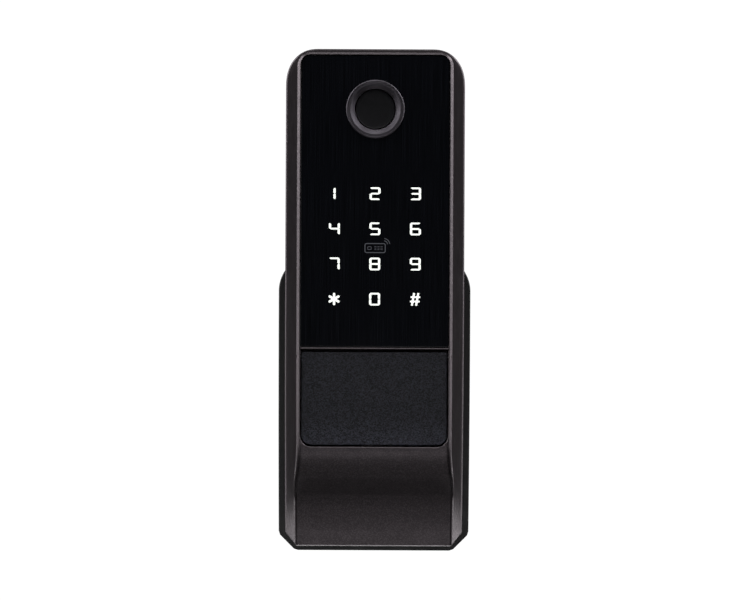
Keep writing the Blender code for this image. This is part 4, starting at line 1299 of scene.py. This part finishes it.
def make_posts():
    """Posts with a threaded bore for the indoor unit's bolts."""
    pitch = 0.7 * MM
    for name in POST_NODES:
        end, inner = reach(name)[1]
        flange = inner - 1.6 * MM
        bore = 1.6 * MM
        profile = [(0, end + 10 * MM), (bore, end + 10 * MM)]
        depth = end + 9 * MM
        while depth > end + 1.2 * MM:
            profile += [(bore + 0.02 * MM, depth), (bore + 0.35 * MM, depth - pitch / 2)]
            depth -= pitch
        profile += [(bore, end + 0.6 * MM), (bore + 0.6 * MM, end), (POST_RADIUS - 0.5 * MM, end)]
        profile += [(POST_RADIUS, end + 0.5 * MM), (POST_RADIUS, flange)]
        profile += [(POST_RADIUS + 1.4 * MM, flange), (POST_RADIUS + 1.6 * MM, flange + 0.2 * MM)]
        profile += [(POST_RADIUS + 1.6 * MM, inner - 0.2 * MM), (POST_RADIUS + 1.4 * MM, inner), (0, inner)]
        post = turned(f"{name}_fine", profile, middle(name))
        place(post, STEEL, "root", "steel", name)


def make_grommet():
    low, high = reach("cable_grommet")[1]
    shoulder = high - 1.0 * MM
    profile = softened(
        (
            (1.9 * MM, low), (3.3 * MM, low), (3.3 * MM, shoulder), (4.6 * MM, shoulder),
            (4.6 * MM, high), (1.9 * MM, high),
        ),
        0.35 * MM,
        closed=True,
    )
    place(turned("harness_grommet", profile, GROMMET_PLACE), RUBBER, "root", "rubber", "cable_grommet")


def make_plunger():
    low, high = reach("tamper_plunger")[1]
    radius = TAMPER_RADIUS
    profile = ((0, low), (radius, low), (radius, high), (0, high))
    plunger = turned("tamper_button", softened(profile, 0.5 * MM, steps=5), TAMPER_PLACE)
    place(plunger, WHITE, "tamper_plunger", "white_plastic", "tamper_plunger")


# ---------------------------------------------------------------- CAD nodes that stay

FINISH_OF_SLOT = {
    "rubber": RUBBER,
    "sensor_black": SENSOR,
    "ring_metal": RING,
    "steel": STEEL,
    "brass": BRASS,
    "circuit_board": BOARD,
    "white_plastic": WHITE,
    "copper": COPPER,
    "key_light": DIODE,
    "bronze_paint": PAINT,
    "panel_black": GLASS,
    "cover_plastic": COVER,
    "plate_black": PLATE,
}
FINISH_OF_NODE = {"cover_hinge_pin": BLACKENED}


def finish_nodes():
    for part in frame["record"]["subparts"]:
        node = NODES[part["node"]]
        finish = FINISH_OF_NODE.get(part["node"], FINISH_OF_SLOT[part["material_slot"]])
        if not node.data.materials:
            node.data.materials.append(finish)
        for slot in node.material_slots:
            slot.material = finish


# ---------------------------------------------------------------- stage

CAMERA_PLACE = Vector((0.15 * MM, -911.8 * MM, -0.85 * MM))
CAMERA_ROLL = 0.26
LENS = 120
SENSOR_WIDTH = 36
SIGHT_LIMIT = 20                      # metres
LIGHT_DISTANCE = 0.8
SIDE_BOX = (0.3, 0.3)
TALL_BOX = (0.2, 0.3)
LOW_BOX = (0.5, 0.12)
WEAK_LOW_POWER = 0.2
# Name, turn from the front towards +X and rise, in degrees, size in metres and power in watts
SOFT_BOXES = (
    ("left_upper", -90, 45, SIDE_BOX, 3.5),
    ("right_upper", 90, 45, SIDE_BOX, 4.5),
    ("left_high", -90, 20, SIDE_BOX, 3.5),
    ("right_high", 90, 20, SIDE_BOX, 3.0),
    ("left_level", -90, 0, SIDE_BOX, 1.5),
    ("right_level", 90, 0, SIDE_BOX, 1.5),
    ("left_low_behind", -108, -22, TALL_BOX, 1.5),
    ("right_low_behind", 108, -22, TALL_BOX, 2.0),
    ("left_front", -48, 0, TALL_BOX, 0.5),
    ("above", 0, 89, (0.5, 0.25), 2.5),
    ("above_front", 0, 70, (0.5, 0.2), 1.5),
    ("front_low_14", 0, -14, LOW_BOX, 0.7),
    ("front_low_27", 0, -27, LOW_BOX, WEAK_LOW_POWER),
    ("front_low_42", 0, -42, LOW_BOX, WEAK_LOW_POWER),
    ("front_low_60", 0, -60, LOW_BOX, WEAK_LOW_POWER),
    ("front_low_80", 0, -80, LOW_BOX, WEAK_LOW_POWER),
    ("below_behind", 180, -64, (0.5, 0.15), 2.5),
    ("behind", 180, 0, TALL_BOX, 2.0),
)
FLOOR_HEIGHT = -900 * MM
FLOOR_RADIUS = 3000 * MM


def make_camera():
    data = bpy.data.cameras.new("camera")
    data.lens = LENS
    data.sensor_width = SENSOR_WIDTH
    data.clip_end = SIGHT_LIMIT
    camera = bpy.data.objects.new("camera", data)
    bpy.context.scene.collection.objects.link(camera)
    turn = Matrix.Rotation(math.radians(90), 4, "X") @ Matrix.Rotation(math.radians(CAMERA_ROLL), 4, "Z")
    camera.matrix_world = Matrix.Translation(CAMERA_PLACE) @ turn
    bpy.context.scene.camera = camera


def softbox(name, position, size, power):
    data = bpy.data.lights.new(name, "AREA")
    data.shape = "RECTANGLE"
    data.size, data.size_y = size
    data.energy = power
    box = bpy.data.objects.new(name, data)
    bpy.context.scene.collection.objects.link(box)
    box.location = position
    box.rotation_euler = (-Vector(position)).to_track_quat("-Z", "Y").to_euler()
    box.visible_camera = False


def make_world():
    world = bpy.data.worlds.new("studio")
    bpy.context.scene.world = world
    world.use_nodes = True
    nodes = world.node_tree.nodes
    links = world.node_tree.links
    backdrop = nodes["Background"]
    backdrop.inputs["Color"].default_value = (1, 1, 1, 1)
    backdrop.inputs["Strength"].default_value = 1.05
    ambient = nodes.new("ShaderNodeBackground")
    ambient.inputs["Color"].default_value = (1, 1, 1, 1)
    ambient.inputs["Strength"].default_value = 0.0
    path = nodes.new("ShaderNodeLightPath")
    mix = nodes.new("ShaderNodeMixShader")
    links.new(path.outputs["Is Camera Ray"], mix.inputs["Fac"])
    links.new(ambient.outputs["Background"], mix.inputs[1])
    links.new(backdrop.outputs["Background"], mix.inputs[2])
    links.new(mix.outputs["Shader"], nodes["World Output"].inputs["Surface"])


def make_lights():
    """Soft boxes about the lock, all at one distance and facing it."""
    for name, turn, rise, size, power in SOFT_BOXES:
        turn = math.radians(turn)
        rise = math.radians(rise)
        level = LIGHT_DISTANCE * math.cos(rise)
        position = (level * math.sin(turn), -level * math.cos(turn), LIGHT_DISTANCE * math.sin(rise))
        softbox(name, position, size, power)


def make_floor():
    """A pale floor well below the lock, which hangs as it would on a door."""
    floor_finish = new_finish("pale_floor", (0.82, 0.82, 0.80), 0.6)
    tint(floor_finish, noise(floor_finish, 6, 3), (0.3, 0.7), (0.80, 0.80, 0.78), (0.84, 0.84, 0.83))
    shader_of(floor_finish).inputs["Emission Color"].default_value = (0.82, 0.82, 0.80, 1)
    shader_of(floor_finish).inputs["Emission Strength"].default_value = 0.85
    mesh = bmesh.new()
    bmesh.ops.create_circle(mesh, cap_ends=True, segments=96, radius=FLOOR_RADIUS)
    floor = made("floor", mesh)
    floor.location.z = FLOOR_HEIGHT
    floor.data.materials.append(floor_finish)
    floor.visible_diffuse = False
    floor.visible_glossy = False


def main():
    make_camera()
    finish_nodes()
    make_housing()
    make_panel()
    make_reader()
    make_cover()
    make_legends()
    make_card_symbol()
    make_cylinder()
    make_port()
    make_base_plate()
    make_gasket()
    make_rear_cover()
    make_screws()
    make_posts()
    make_grommet()
    make_plunger()
    make_world()
    make_lights()
    make_floor()
    bpy.context.scene.view_settings.view_transform = "Standard"


main()
